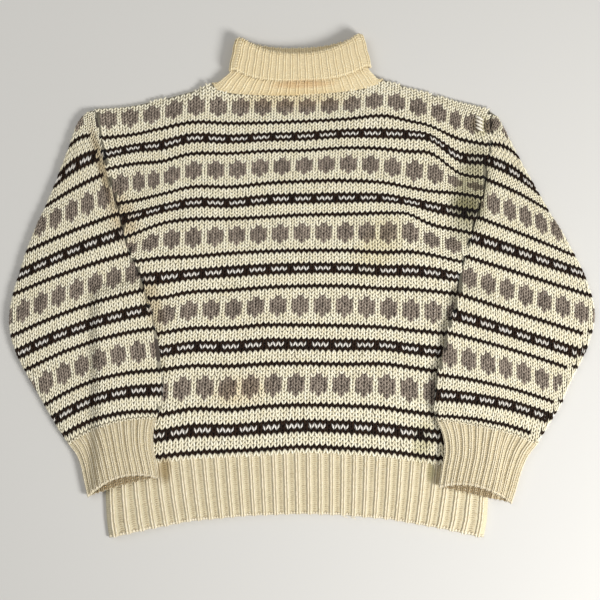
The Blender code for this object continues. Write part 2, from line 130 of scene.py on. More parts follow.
# The body's sides below the underarm: y, left x, right x
SIDES = (
    (-370.0, -281.8, 265.2),
    (-340.0, -286.0, 271.0),
    (-305.0, -287.6, 273.0),
    (-235.0, -287.6, 273.0),
    (-27.0, -289.0, 274.5),
    (20.0, -289.0, 274.5),
)
UNDERARM_OUT_Y = -27.0

# The line where the hem rib starts, and the hem's lower edge: x, upper y, lower y
HEM = (
    (-294.0, -261.3, -368.5),
    (-225.0, -252.0, -353.0),
    (-163.5, -245.3, -340.8),
    (-80.0, -239.5, -333.0),
    (-3.0, -237.3, -330.0),
    (60.0, -239.0, -332.0),
    (128.5, -244.6, -338.3),
    (205.0, -252.0, -352.0),
    (275.0, -260.5, -367.5),
)

# How the courses run over the body. For each course: its y at each of the stations in x
STATIONS = (-295, -244, -207, -164, -105, -47, -3, 63, 128, 153, 187, 231, 270)
COURSES = (
    (-14, 280, 285, 292, 305, 303, 301, 299, 301, 308, 305, 298, 285, 276),
    (-10, 264, 269, 276, 288, 286, 284, 283, 285, 292, 288, 280, 266, 257),
    (-5.5, 247, 250, 256, 265, 264, 265, 265, 268, 274, 269, 261, 244, 237),
    (0, 219, 225, 233, 242, 241, 242, 243.5, 247, 251, 245, 237, 218, 210),
    (5, 194, 205, 209, 219, 218, 221, 222, 226, 226, 225, 220, 192, 188),
    (10, 172, 182, 185, 196, 197, 200.5, 201, 205, 203, 200, 197, 168, 161),
    (21, 121, 128, 137, 147.5, 148, 153.5, 156, 157, 153, 148, 142, 138, 131),
    (26, 96, 106, 116, 124.5, 124.5, 130, 131, 132, 131, 127, 120, 111, 105),
    (31, 61, 80, 94, 100.5, 101.5, 104.5, 107, 108, 110, 109, 94, 84, 76),
    (42, 29, 39, 44, 46, 51, 54, 55, 55, 52.5, 53.5, 49, 39, 32),
    (52, -23, -16, -14, -6, -3, 1.5, 3, 3, -1, -1.5, -4, -9, -13),
    (63, -83, -72, -66, -59, -58, -53.5, -54, -55, -58, -61, -64, -69, -74),
    (73, -134, -126, -120, -114, -114, -110.5, -110, -111, -111.5, -115, -120, -124, -130),
    (84, -199, -188, -185, -177, -177.5, -172.5, -171, -172, -176, -180, -184, -189, -194),
    (94, -263, -253, -246, -241, -238, -235, -232, -234, -239, -242, -247, -253, -258),
    (97, -282, -272, -265, -260, -256.5, -253, -250, -252, -257, -261, -267, -272, -279),
)
COURSE_KEYS = [row[0] for row in COURSES]
HALF_COURSE = 0.5
MOST_WALES = 44.0
# How the wales run up the body: y, x of the wale through the middle dot, width of a stitch
WALES = (
    (-270.0, -47.5, 8.50),
    (-230.7, -46.0, 8.43),
    (-140.2, -42.3, 8.29),
    (-17.5, -35.0, 8.09),
    (78.8, -32.1, 7.92),
    (179.6, -29.2, 8.07),
    (267.2, -24.8, 8.12),
    (310.0, -23.0, 8.14),
)
# Where a soft fold near an armhole takes up wales: x where it starts and ends, y, reach in y, shift
GATHERS = (
    (-190.0, -285.0, 152.0, 60.0, 22.0),
    (172.0, 275.0, 215.0, 90.0, -10.0),
    (205.0, 262.0, 243.0, 24.0, -11.0),
)

# The pattern repeats over 4 wales and 21 courses, counted from the middle of a dot and from a thin line
REPEAT_WALES = 4
REPEAT_COURSES = 21
PLAIN_ABOVE = -9.4
CREAM, DARK, WHITE, DOT = range(4)
# In each wale, the yarn that starts at a course. All have the thin lines and the band, and the
# middle three have a stroke of off-white in the band and a dot
BETWEEN_WALE = {0: DARK, 1: CREAM, 4: DARK, 7: CREAM, 10: DARK, 11: CREAM}
STROKE = {4: DARK, 5: WHITE, 6: DARK}
MIDDLE_WALE = dict(sorted({**BETWEEN_WALE, **STROKE, 13: DOT, 19: CREAM}.items()))
BESIDE_WALE = dict(sorted({**BETWEEN_WALE, **STROKE, 14: DOT, 18: CREAM}.items()))
WALE_KINDS = (MIDDLE_WALE, BESIDE_WALE, BETWEEN_WALE, BESIDE_WALE)
YARN_COLOURS = {CREAM: "#F2E9CC", DARK: "#190E08", WHITE: "#F6F0E4", DOT: "#83766A"}


def mix(first, second, share):
    return first + (second - first) * share


def smooth(low, high, value):
    share = np.clip((value - low) / (high - low), 0.0, 1.0)
    return share * share * (3.0 - 2.0 * share)


def read(rows, key, column):
    """A column of a table at values of its first column, on straight lines between rows."""
    table = np.array(rows)
    return np.interp(key, table[:, 0], table[:, column])


def along(keys, values, at):
    """A smooth curve through values. These are one list for all places, or a list for each."""
    keys = np.asarray(keys, float)
    values = np.atleast_2d(np.asarray(values, float))
    slopes = np.gradient(values, keys, axis=1)
    at = np.clip(at, keys[0], keys[-1])
    index = np.clip(np.searchsorted(keys, at, side="right") - 1, 0, len(keys) - 2)
    line = np.arange(len(at)) if len(values) > 1 else np.zeros(len(at), int)
    span = keys[index + 1] - keys[index]
    t = (at - keys[index]) / span
    start, end = values[line, index], values[line, index + 1]
    leave, arrive = slopes[line, index] * span, slopes[line, index + 1] * span
    rise = t * t * (3.0 - 2.0 * t)
    return mix(start, end, rise) + t * (1.0 - t) * ((1.0 - t) * leave - t * arrive)


def side_x(side, y):
    return read(SIDES, y, 1 if side < 0 else 2)


def course_lines(x):
    """The y of every course in COURSES at each x."""
    table = np.array(COURSES, float)
    return np.stack([along(STATIONS, row[1:], x) for row in table], axis=1)


def wale_x(wale, y):
    keys, middle, width = np.array(WALES).T
    x = along(keys, middle, y) + wale * along(keys, width, y)
    for start, end, gather_y, reach, shift in GATHERS:
        way = 1.0 if end > start else -1.0
        taken = smooth(0.0, abs(end - start), (x - start) * way)
        x = x + shift * taken * np.exp(-(((y - gather_y) / reach) ** 2))
    return x


def body_xy(wale, course):
    """Where a stitch of the body lies in the plan. It starts from the wales half way down, and closes in."""
    _, middle, width = WALES[3]
    x = wale * width + middle
    y = along(COURSE_KEYS, course_lines(x), course)
    for _ in range(4):
        x = wale_x(wale, y)
        y = along(COURSE_KEYS, course_lines(x), course)
    return x, y


def body_stitch(x, y):
    """Which wale and course of the body's knitting lies at a place."""
    fine = np.arange(COURSE_KEYS[0], COURSE_KEYS[-1] + HALF_COURSE, HALF_COURSE)
    lines = course_lines(x)
    ladder = np.stack([along(COURSE_KEYS, lines, np.full(len(x), course)) for course in fine], axis=1)
    below = np.clip((ladder > y[:, None]).sum(axis=1), 1, len(fine) - 1)
    spot = np.arange(len(x))
    high, low = ladder[spot, below - 1], ladder[spot, below]
    course = fine[below - 1] + HALF_COURSE * np.clip((high - y) / (high - low), 0.0, 1.0)
    wales = np.arange(-MOST_WALES, MOST_WALES + 1.0)
    rungs = np.stack([wale_x(np.full(len(x), wale), y) for wale in wales], axis=1)
    right = np.clip((rungs < x[:, None]).sum(axis=1), 1, len(wales) - 1)
    near, far = rungs[spot, right - 1], rungs[spot, right]
    return np.stack([wales[right - 1] + (x - near) / (far - near), course], axis=1)


def metres(points):
    return (points - (0.0, CENTRE_Y, 0.0)) * MM


def linear(colour):
    """An sRGB hex colour as linear light."""
    parts = [int(colour[i : i + 2], 16) / 255 for i in (1, 3, 5)]
    return tuple(p / 12.92 if p <= 0.04045 else ((p + 0.055) / 1.055) ** 2.4 for p in parts) + (1.0,)


def add(tree, kind, inputs=(), **settings):
    """Adds a node. Settings go on the node, and inputs are pairs of a socket and what goes in."""
    made = tree.nodes.new(kind)
    for key, value in settings.items():
        setattr(made, key, value)
    for socket, value in inputs:
        if isinstance(value, bpy.types.NodeSocket):
            tree.links.new(value, made.inputs[socket])
        else:
            made.inputs[socket].default_value = value
    return made


def new_material(name):
    material = bpy.data.materials.new(name)
    material.use_nodes = True
    return material, material.node_tree, material.node_tree.nodes["Principled BSDF"]


# Wool is matt and fuzzy: its fibres catch light at a grazing angle, which sheen gives
WOOL_ROUGHNESS = 0.92
WOOL_IOR = 1.5
WOOL_SHEEN = 0.12
WOOL_SHEEN_ROUGHNESS = 0.5
WOOL_SPECULAR = 0.25


def woollen(shader, sheen=WOOL_SHEEN):
    shader.inputs["Roughness"].default_value = WOOL_ROUGHNESS
    shader.inputs["Metallic"].default_value = 0.0
    shader.inputs["IOR"].default_value = WOOL_IOR
    shader.inputs["Specular IOR Level"].default_value = WOOL_SPECULAR
    shader.inputs["Sheen Weight"].default_value = sheen
    shader.inputs["Sheen Roughness"].default_value = WOOL_SHEEN_ROUGHNESS


# Stained and yellowed places, and places where shade is painted into the wool's colour in grooves and under
# folds: x, y, half length, half width, angle of the length, tint, strength
STAINS_AND_PAINTED_SHADE = (
    # Painted shade in the groove between the body and the left sleeve
    (-294.0, 182.0, 82.0, 10.0, -74.6, "#C9BEAC", 0.95),
    # Painted shade in the trough beside the right armhole, and over the dots below it
    (246.0, 140.0, 105.0, 36.0, 80.0, "#C3C2B2", 0.95),
    (240.0, 118.0, 34.0, 24.0, 0.0, "#BDBBA6", 0.9),
    (262.0, 238.0, 24.0, 20.0, 0.0, "#CFCCB4", 0.8),
    (-262.0, 104.0, 60.0, 28.0, -70.0, "#E6DBCC", 0.8),
    (-218.0, -20.0, 64.0, 18.0, -75.0, "#E2D8C8", 0.8),
    (-200.0, -264.0, 30.0, 13.0, 90.0, "#C8BCA6", 0.9),
    (189.0, -269.0, 22.0, 10.0, 90.0, "#CACAB4", 0.8),
    (176.0, -226.0, 44.0, 20.0, 80.0, "#DAD9C6", 0.8),
    (-10.0, 276.0, 120.0, 20.0, 2.0, "#F9F1E2", 0.9),
    # Painted shade on the collar's stand, under the turnover
    (0.0, 297.0, 64.0, 8.0, 2.0, "#EFDFD0", 0.9),
    (-90.0, -150.0, 60.0, 30.0, 10.0, "#F6EEE2", 0.8),
    (110.0, 60.0, 70.0, 40.0, 60.0, "#F6F3E6", 0.8),
)


def stains_and_painted_shade(tree, colour, place):
    """Tints the wool with its stains and yellowing, and paints shade into its colour where it lies in a
    groove or under a fold.
    """
    for x, y, length, width, angle, tint, strength in STAINS_AND_PAINTED_SHADE:
        spot = add(
            tree, "ShaderNodeMapping",
            [
                ("Vector", place), ("Location", (x * MM, (y - CENTRE_Y) * MM, 0.0)),
                ("Rotation", (0.0, 0.0, math.radians(angle))), ("Scale", (length * MM, width * MM, 1.0)),
            ],
            vector_type="TEXTURE",
        ).outputs[0]
        away = add(tree, "ShaderNodeVectorMath", [(0, spot)], operation="LENGTH").outputs["Value"]
        share = add(tree, "ShaderNodeMapRange", [(0, away), (1, 0.3), (2, 1.0), (3, strength), (4, 0.0)])
        share.interpolation_type = "SMOOTHSTEP"
        colour = add(
            tree, "ShaderNodeMix", [(0, share.outputs[0]), (6, colour), (7, linear(tint))],
            data_type="RGBA", blend_type="MULTIPLY",
        ).outputs[2]
    return colour


def fibrous(tree, shader, colour, scale, low, high):
    """Mottles a colour as the fibres of wool do, and adds its stains and its painted shade. Scale is in
    patches of fibres a metre.
    """
    place = add(tree, "ShaderNodeTexCoord").outputs["Object"]
    fuzz = add(tree, "ShaderNodeTexNoise", [("Vector", place), ("Scale", scale), ("Detail", 3.0)])
    shade = add(tree, "ShaderNodeMapRange", [(0, fuzz.outputs["Fac"]), (3, low), (4, high)])
    colour = add(
        tree, "ShaderNodeMix", [(0, 1.0), (6, colour), (7, shade.outputs[0])],
        data_type="RGBA", blend_type="MULTIPLY",
    ).outputs[2]
    tree.links.new(stains_and_painted_shade(tree, colour, place), shader.inputs["Base Color"])


def raised(tree, shader, height, strength, distance):
    """Gives a surface fine relief. Distance is in millimetres."""
    inputs = [("Height", height), ("Strength", strength), ("Distance", distance * MM)]
    tree.links.new(add(tree, "ShaderNodeBump", inputs).outputs["Normal"], shader.inputs["Normal"])


# The zigzag of a course is in courses, and the fibres show in patches 2 mm across
ZIGZAG = 1.3
ZIGZAG_LOW = 0.33
STRANDED_FUZZ = 500.0


def stranded_cloth(name, painted_shade):
    """Stranded wool whose pattern is worked out from wale and course. Painted shade darkens it by this share
    where it lies under stitches.
    """
    material, tree, shader = new_material(name)
    knit = add(tree, "ShaderNodeUVMap", uv_map="knit").outputs["UV"]
    spot = add(tree, "ShaderNodeSeparateXYZ", [(0, knit)]).outputs

    def calc(operation, *values):
        return add(tree, "ShaderNodeMath", list(enumerate(values)), operation=operation).outputs[0]

    # A stitch is a V, so each course runs as a zigzag, lowest in the middle of a wale
    off_middle = calc("ABSOLUTE", calc("SUBTRACT", calc("FRACT", calc("ADD", spot[0], 0.5)), 0.5))
    course = calc("MULTIPLY_ADD", off_middle, ZIGZAG, calc("SUBTRACT", spot[1], ZIGZAG_LOW))
    course = calc("MAXIMUM", course, PLAIN_ABOVE)
    row = calc("FLOORED_MODULO", calc("ADD", course, 0.5), float(REPEAT_COURSES))
    row = calc("DIVIDE", row, float(REPEAT_COURSES))
    wale = calc("FLOOR", calc("FLOORED_MODULO", calc("ADD", spot[0], 0.5), float(REPEAT_WALES)))
    ramps = []
    for kind in (BESIDE_WALE, BETWEEN_WALE, MIDDLE_WALE):
        ramp = add(tree, "ShaderNodeValToRGB", [(0, row)])
        ramp.color_ramp.interpolation = "CONSTANT"
        while len(ramp.color_ramp.elements) > 1:
            ramp.color_ramp.elements.remove(ramp.color_ramp.elements[-1])
        for start, colour in kind.items():
            place = start / REPEAT_COURSES
            spotted = ramp.color_ramp.elements.new(place) if start else ramp.color_ramp.elements[0]
            spotted.position = place
            spotted.color = linear(YARN_COLOURS[colour])
        ramps.append(ramp.outputs["Color"])
    colour = ramps[0]
    for stripe, charted in ((2.0, ramps[1]), (0.0, ramps[2])):
        inputs = [(0, calc("COMPARE", wale, stripe, 0.1)), (6, colour), (7, charted)]
        colour = add(tree, "ShaderNodeMix", inputs, data_type="RGBA").outputs[2]
    fibrous(tree, shader, colour, STRANDED_FUZZ, painted_shade * 0.75, painted_shade * 1.1)
    across = calc("MULTIPLY", calc("PINGPONG", spot[0], 0.25), 2.0)
    raised(tree, shader, calc("ADD", calc("PINGPONG", calc("ADD", course, 0.5), 0.5), across), 0.6, 1.5)
    woollen(shader)
    return material


def grid(columns, rows, keep=None):
    """A flat grid whose corners lie at their column and row."""
    bm = bmesh.new()
    bmesh.ops.create_grid(bm, x_segments=columns, y_segments=rows, size=0.5)
    bmesh.ops.translate(bm, vec=(0.5, 0.5, 0.0), verts=bm.verts)
    bmesh.ops.scale(bm, vec=(columns, rows, 1.0), verts=bm.verts)
    if keep:
        unused = [face for face in bm.faces if not keep(face.calc_center_median())]
        bmesh.ops.delete(bm, geom=unused, context="FACES")
    return bm


def slab(bm):
    """Gives a flat grid a lower and an upper skin, at heights 0 and 1."""
    drawn = bmesh.ops.extrude_face_region(bm, geom=list(bm.faces), use_keep_orig=True)["geom"]
    upper = [item for item in drawn if isinstance(item, bmesh.types.BMVert)]
    bmesh.ops.translate(bm, vec=(0.0, 0.0, 1.0), verts=upper)
    bmesh.ops.recalc_face_normals(bm, faces=bm.faces)
    return bm


def show(name, mesh, material):
    """Puts a finished mesh in the scene as a piece of the sweater."""
    mesh.shade_smooth()
    mesh.materials.append(material)
    piece = bpy.data.objects.new(name, mesh)
    bpy.context.scene.collection.objects.link(piece)
    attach(piece, "root")
    return piece


def cloth(name, bm, place, material):
    """A shell of cloth from a grid. Place gives each corner's point, and its wale and course."""
    mesh = bpy.data.meshes.new(name)
    bm.to_mesh(mesh)
    bm.free()
    spots = np.empty(len(mesh.vertices) * 3, np.float32)
    mesh.vertices.foreach_get("co", spots)
    points, knit = place(*spots.reshape(-1, 3).T.astype(float))
    mesh.vertices.foreach_set("co", metres(points).ravel())
    corners = np.empty(len(mesh.loops), np.int32)
    mesh.loops.foreach_get("vertex_index", corners)
    mesh.uv_layers.new(name="knit").data.foreach_set("uv", knit[corners].ravel())
    mesh.update()
    return show(name, mesh, material)


STRIP = 8
LOWER_ROWS = 44
UPPER_ROWS = 40


def middle_shares(most):
    """Shares across the body, one at each row of TOP_EDGE, and more where these lie far apart."""
    first, last = TOP_EDGE[0][0], TOP_EDGE[-1][0]
    shares = [0.0]
    for low, high in zip(TOP_EDGE, TOP_EDGE[1:]):
        parts = max(1, math.ceil((high[0] - low[0]) / most))
        for step in range(1, parts + 1):
            shares.append((mix(low[0], high[0], step / parts) - first) / (last - first))
    return np.array(shares)


BODY_SHARES = middle_shares(8.5)
BODY_CELLS = len(BODY_SHARES) - 1


def body_plan(column, row, top_column):
    """Places a column and row of a body panel: a T, with strips below the underarms."""
    left = np.array([row[3:5] for row in LEFT_SLEEVE[UNDERARM::-1]] + [TOP_EDGE[0][:2]])
    right = np.array([row[3:5] for row in RIGHT_SLEEVE[UNDERARM::-1]] + [TOP_EDGE[-1][:2]])
    left[:-1, 0] += HALF_SEAM
    right[:-1, 0] -= HALF_SEAM
    steps = np.arange(len(left))
    index = np.clip((row - LOWER_ROWS) / UPPER_ROWS, 0.0, 1.0) * steps[-1]
    left_x, left_y = np.interp(index, steps, left[:, 0]), np.interp(index, steps, left[:, 1])
    right_x, right_y = np.interp(index, steps, right[:, 0]), np.interp(index, steps, right[:, 1])
    middle = column - STRIP
    share = np.interp(middle, np.arange(BODY_CELLS + 1), BODY_SHARES)
    out_left, out_right = np.clip(-middle / STRIP, 0, 1), np.clip((middle - BODY_CELLS) / STRIP, 0, 1)
    base = mix(left[0, 1], right[0, 1], share)
    base = mix(mix(base, UNDERARM_OUT_Y, out_left), UNDERARM_OUT_Y, out_right)
    x = mix(left_x, right_x, share)
    up_left = (left_y - left[0, 1]) / (left[-1, 1] - left[0, 1])
    up_right = (right_y - right[0, 1]) / (right[-1, 1] - right[0, 1])
    upper_y = mix(base, read(TOP_EDGE, x, top_column), mix(up_left, up_right, share))
    upper_y = np.where((index >= steps[-1]) & (x > NECK_LEFT) & (x < NECK_RIGHT), upper_y - SEAM, upper_y)
    lower_x, lower_y = x, base
    for _ in range(2):
        lower_x = mix(mix(x, side_x(-1, lower_y), out_left), side_x(1, lower_y), out_right)
        lower_y = mix(read(HEM, lower_x, 1) + HALF_SEAM, base, np.clip(row / LOWER_ROWS, 0, 1))
    upper = row > LOWER_ROWS
    return np.where(upper, x, lower_x), np.where(upper, upper_y, lower_y)


def on_body(centre):
    return centre.y < LOWER_ROWS or STRIP < centre.x < STRIP + BODY_CELLS


def body_grid():
    return slab(grid(BODY_CELLS + 2 * STRIP, LOWER_ROWS + UPPER_ROWS, on_body))


def back_place(column, row, upper):
    x, y = body_plan(column, row, 2)
    return np.stack([x, y, upper * WALL], axis=1), body_stitch(x, y)


open_wool = stranded_cloth("stranded_wool", 1.0)
back_panel = cloth("back_panel_cloth", body_grid(), back_place, open_wool)
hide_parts("back_panel")

# Back hem rib
# The band of knit one, purl one rib below the back panel, in cream wool. It lies flat on the surface
# under the front's hem, whose edge it follows.
HEM_RIBS = 33
HEM_CELLS = 4
HEM_ROWS = 14
RIB_CREAM = "#EFE3C0"


# The ribs stand square to the arched edge, so they lean: share across the hem, lean to the right
HEM_LEAN = (
    (0.0, 0.0),
    (0.08, 9.0),
    (0.16, 12.0),
    (0.26, 9.0),
    (0.45, 3.0),
    (0.6, 0.0),
    (0.77, -6.0),
    (0.88, -11.0),
    (0.95, -7.0),
    (1.0, 0.0),
)


def hem_plan(rib, up):
    """Places a rib, counted from the left, and a share from the hem's edge up to the panel."""
    share = rib / HEM_RIBS
    y = np.full(len(rib), HEM[0][2])
    for _ in range(3):
        x = mix(side_x(-1, y), side_x(1, y), share) + read(HEM_LEAN, share, 1) * (1.0 - up)
        y = mix(read(HEM, x, 2), read(HEM, x, 1) - HALF_SEAM, up)
    return x, y


# Fibres show in patches 2.4 mm across. A wave runs 20 radians a unit, so its bars are 0.63 courses apart
RIB_FUZZ = 420.0
BAR_WAVES = 3.14 / math.tau
COURSES_A_ROW = 1.5


def rib_cloth(name, colour, painted_shade):
    """Ribbed wool: small bars run across it where the purl columns lie back. Painted shade darkens it by a
    share where it lies under stitches.
    """
    material, tree, shader = new_material(name)
    knit = add(tree, "ShaderNodeUVMap", uv_map="knit").outputs["UV"]
    fibrous(tree, shader, linear(colour), RIB_FUZZ, painted_shade * 0.8, painted_shade * 1.1)
    rows = add(tree, "ShaderNodeTexWave", [("Vector", knit), ("Scale", BAR_WAVES)], bands_direction="Y")
    raised(tree, shader, rows.outputs["Fac"], 0.5, 1.0)
    woollen(shader)
    return material


def hem_grid():
    return slab(grid(HEM_RIBS * HEM_CELLS, HEM_ROWS))


def back_hem_place(column, row, upper):
    rib = column / HEM_CELLS
    x, y = hem_plan(rib, row / HEM_ROWS)
    return np.stack([x, y, upper * WALL], axis=1), np.stack([rib, row * COURSES_A_ROW], axis=1)


rib_wool = rib_cloth("ribbed_wool", RIB_CREAM, 1.0)
back_hem = cloth("back_hem_cloth", hem_grid(), back_hem_place, rib_wool)
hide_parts("back_hem_rib")

# Front panel
# The front of the body in stranded stockinette: cream, off-white, heathered grey-brown and nearly
# black wool. Every stitch is a V of two legs of yarn, which stand on a thinner shell of cloth.
# The hollow under the front closes towards its edges, where a share of the wall's height is left
HOLLOW = 2.3
CLOSING = 18.0
EDGE_SHARE = 0.45
ROUND_WIDTH = 14.0
LEFT_INNER = tuple((-row[4], row[3]) for row in LEFT_SLEEVE) + ((275.9, -207.3), (300.0, -330.0))
RIGHT_INNER = tuple((-row[4], row[3]) for row in RIGHT_SLEEVE) + ((289.1, 198.6), (310.0, 330.0))
FADE_FROM = 4.0
FADE_TO = 34.0

# Soft folds of the front: x, y, length, angle from +Y in degrees, width, height
FOLDS = (
    (-58.0, -30.0, 120.0, 0.0, 13.0, 2.6),
    (72.0, 105.0, 200.0, 10.0, 16.0, 2.4),
    (118.0, 10.0, 190.0, 6.0, 18.0, -1.6),
    (-190.0, 120.0, 90.0, -28.0, 20.0, -1.8),
    (-150.0, 110.0, 90.0, -30.0, 20.0, 2.2),
    (222.0, 205.0, 110.0, 25.0, 16.0, -1.6),
    (190.0, 190.0, 120.0, 25.0, 18.0, 2.2),
    (20.0, -150.0, 130.0, -8.0, 20.0, 2.0),
    (-110.0, -165.0, 110.0, 6.0, 18.0, 1.8),
)


def fold_height(x, y):
    height = np.zeros(len(x))
    for fold_x, fold_y, length, angle, width, lift in FOLDS:
        turn = math.radians(angle)
        across = (x - fold_x) * math.cos(turn) + (y - fold_y) * math.sin(turn)
        down = (y - fold_y) * math.cos(turn) - (x - fold_x) * math.sin(turn)
        height += lift * np.exp(-((across / width) ** 2) - (2.0 * down / length) ** 4)
    return height


def clear_of_sleeves(x, y):
    left = x - read(LEFT_INNER, -y, 1)
    right = read(RIGHT_INNER, -y, 1) - x
    return smooth(FADE_FROM, FADE_TO, left) * smooth(FADE_FROM, FADE_TO, right)


def edge_distance(x, y):
    """How far a place lies inside the closed edges: the sides, the hidden step and the shoulders."""
    left = np.where(y > LEFT_SLEEVE[UNDERARM][4], CLOSING, x - side_x(-1, y))
    right = np.where(y > RIGHT_SLEEVE[UNDERARM][4], CLOSING, side_x(1, y) - x)
    near_neck = np.minimum(abs(x - NECK_LEFT), abs(x - NECK_RIGHT))
    top = read(TOP_EDGE, x, 1) - y + CLOSING * (1.0 - smooth(0.0, CLOSING, near_neck))
    top = np.where((x > NECK_LEFT) & (x < NECK_RIGHT), CLOSING, top)
    return np.maximum(0.0, np.minimum(np.minimum(left, right), top))


def front_heights(x, y):
    """The front's inside and outside, as in the solid."""
    edge = edge_distance(x, y)
    closed = smooth(0.0, CLOSING, edge)
    inside = WALL + mix(SEAM, HOLLOW, closed) + fold_height(x, y) * clear_of_sleeves(x, y) * closed
    return inside, mix(EDGE_SHARE, 1.0, np.sqrt(smooth(0.0, ROUND_WIDTH, edge)))


# The legs stand on the cloth from SEAT below the panel's outer face, and the shell ends a little lower
SEAT = 1.8
SHELL_DROP = 2.2
THINNEST = 0.5


def on_front(x, y, thickness, upper):
    """A front shell's points, on its inner or its outer skin."""
    inside, share = front_heights(x, y)
    return np.stack([x, y, inside + np.maximum(thickness(share), THINNEST) * upper], axis=1)


def front_place(column, row, upper):
    x, y = body_plan(column, row, 1)
    return on_front(x, y, lambda share: WALL * share - SHELL_DROP, upper), body_stitch(x, y)


def front_surface(wale, course):
    x, y = body_xy(wale, course)
    inside, share = front_heights(x, y)
    return np.stack([x, y, inside + WALL * share - SEAT], axis=1)


def yarn_length(path, across=False):
    """A short length of yarn: a small ball drawn out along a path.

    A step of the path is (across, up, out, radius along the cloth, radius out of it). Across and up
    are in stitches and out is in millimetres, and the first and last step are the two tips.
    """
    bm = bmesh.new()
    bmesh.ops.create_uvsphere(bm, u_segments=4, v_segments=len(path) - 1, radius=1.0)
    bmesh.ops.triangulate(bm, faces=bm.faces)
    marks = []
    for vert in bm.verts:
        ring = math.acos(max(-1.0, min(1.0, vert.co.z))) / math.pi * (len(path) - 1)
        step = path[round(ring)]
        round_way = Vector((vert.co.x, vert.co.y, 0.0))
        if round_way.length > 0.01:
            round_way.normalize()
        beside = round_way.x * step[3]
        if across:
            vert.co = (step[0], step[1] + beside, step[2] + round_way.y * step[4])
        else:
            vert.co = (step[0] + beside, step[1], step[2] + round_way.y * step[4])
        marks.append((0.5 + 0.5 * round_way.x, round(ring) / (len(path) - 1)))
    bmesh.ops.recalc_face_normals(bm, faces=bm.faces)
    points = np.array([vert.co for vert in bm.verts])
    faces = np.array([[vert.index for vert in face.verts] for face in bm.faces])
    bm.free()
    return points, faces, np.array(marks)


def mirrored(path):
    return tuple((-step[0],) + tuple(step[1:]) for step in path)


LEG = (
    (0.44, 0.9, -0.8, 0.0, 0.0),
    (0.37, 0.46, 0.6, 0.15, 1.1),
    (0.265, 0.0, 1.15, 0.195, 1.35),
    (0.15, -0.46, 0.8, 0.155, 1.1),
    (0.07, -0.92, -0.7, 0.0, 0.0),
)
# The off-white yarn is thinner than the others and sinks in between them
THIN_LEG = (
    (0.44, 0.74, -0.8, 0.0, 0.0),
    (0.37, 0.4, 0.3, 0.11, 0.9),
    (0.27, 0.0, 0.8, 0.14, 1.05),
    (0.16, -0.4, 0.5, 0.11, 0.9),
    (0.08, -0.76, -0.7, 0.0, 0.0),
)
# The heathered yarn is the fullest
FULL_LEG = (
    (0.45, 0.92, -0.8, 0.0, 0.0),
    (0.38, 0.48, 0.7, 0.165, 1.15),
    (0.275, 0.0, 1.2, 0.215, 1.4),
    (0.16, -0.48, 0.9, 0.175, 1.15),
    (0.08, -0.96, -0.7, 0.0, 0.0),
)
LEGS = (yarn_length(LEG), yarn_length(mirrored(LEG)))
THIN_LEGS = (yarn_length(THIN_LEG), yarn_length(mirrored(THIN_LEG)))
FULL_LEGS = (yarn_length(FULL_LEG), yarn_length(mirrored(FULL_LEG)))


def stitch_frames(surface, wale, course):
    """The middle of each stitch, and one stitch's step across, up and out of the cloth."""
    middle = surface(wale, course)
    across = surface(wale + 0.5, course) - surface(wale - 0.5, course)
    up = surface(wale, course - 0.5) - surface(wale, course + 0.5)
    out = np.cross(across, up)
    out /= np.linalg.norm(out, axis=1)[:, None]
    return middle, across, up, out


def stitches(name, lengths, frames, material, loose=0.03):
    """Joins one copy of each length of yarn for every stitch into one piece."""
    middle, across, up, out = frames
    count = len(middle)
    points, faces, marks, shades = [], [], [], []
    start = 0
    for shape, corners, mark in lengths:
        shift = chance.normal(0.0, loose, (count, 1, 3)) * (1.0, 1.0, 4.0)
        local = shape[None] * chance.uniform(0.94, 1.06, (count, 1, 1)) + shift
        placed = middle[:, None] + local[..., :1] * across[:, None] + local[..., 1:2] * up[:, None]
        placed = placed + local[..., 2:] * out[:, None]
        points.append(placed.reshape(-1, 3))
        offsets = start + np.arange(count)[:, None, None] * len(shape)
        faces.append((corners[None] + offsets).reshape(-1, 3))
        marks.append(np.tile(mark, (count, 1)))
        shades.append(np.repeat(chance.uniform(0.0, 1.0, count), len(shape)))
        start += count * len(shape)
    mesh = bpy.data.meshes.new(name)
    mesh.from_pydata(metres(np.concatenate(points)).tolist(), [], np.concatenate(faces).tolist())
    corners = np.empty(len(mesh.loops), np.int32)
    mesh.loops.foreach_get("vertex_index", corners)
    mesh.uv_layers.new(name="yarn").data.foreach_set("uv", np.concatenate(marks)[corners].ravel())
    mesh.attributes.new("shade", "FLOAT", "POINT").data.foreach_set("value", np.concatenate(shades))
    return show(name, mesh, material)


# Flecks of mixed fibre are 1.5 mm apart, and the dye is uneven over some 70 mm
YARN_FLECKS = 650.0
UNEVEN_DYE = 14.0


def yarn(name, deep, light, flecks, sheen=WOOL_SHEEN):
    """Spun wool. Each length has its own shade, its plies run round it, and flecks are mixed fibres."""
    material, tree, shader = new_material(name)
    shade = add(tree, "ShaderNodeAttribute", attribute_name="shade").outputs["Fac"]
    place = add(tree, "ShaderNodeTexCoord").outputs["Object"]
    mark = add(tree, "ShaderNodeUVMap", uv_map="yarn").outputs["UV"]
    fine, coarse = (
        add(tree, "ShaderNodeTexNoise", [("Vector", place), ("Scale", scale), ("Detail", 2.0)]).outputs["Fac"]
        for scale in (YARN_FLECKS, UNEVEN_DYE)
    )
    fine = add(tree, "ShaderNodeMapRange", [(0, fine), (1, 0.35), (2, 0.65)]).outputs[0]
    tone = shade
    for share, other in ((flecks, fine), (0.25, coarse)):
        tone = add(tree, "ShaderNodeMix", [(0, share), (2, tone), (3, other)], data_type="FLOAT").outputs[0]
    colour = add(
        tree, "ShaderNodeMix", [(0, tone), (6, linear(deep)), (7, linear(light))], data_type="RGBA"
    ).outputs[2]
    tree.links.new(stains_and_painted_shade(tree, colour, place), shader.inputs["Base Color"])
    plies = add(tree, "ShaderNodeTexWave", [("Vector", mark), ("Scale", 1.2)], bands_direction="DIAGONAL")
    raised(tree, shader, plies.outputs["Fac"], 0.35, 0.5)
    woollen(shader, sheen)
    return material


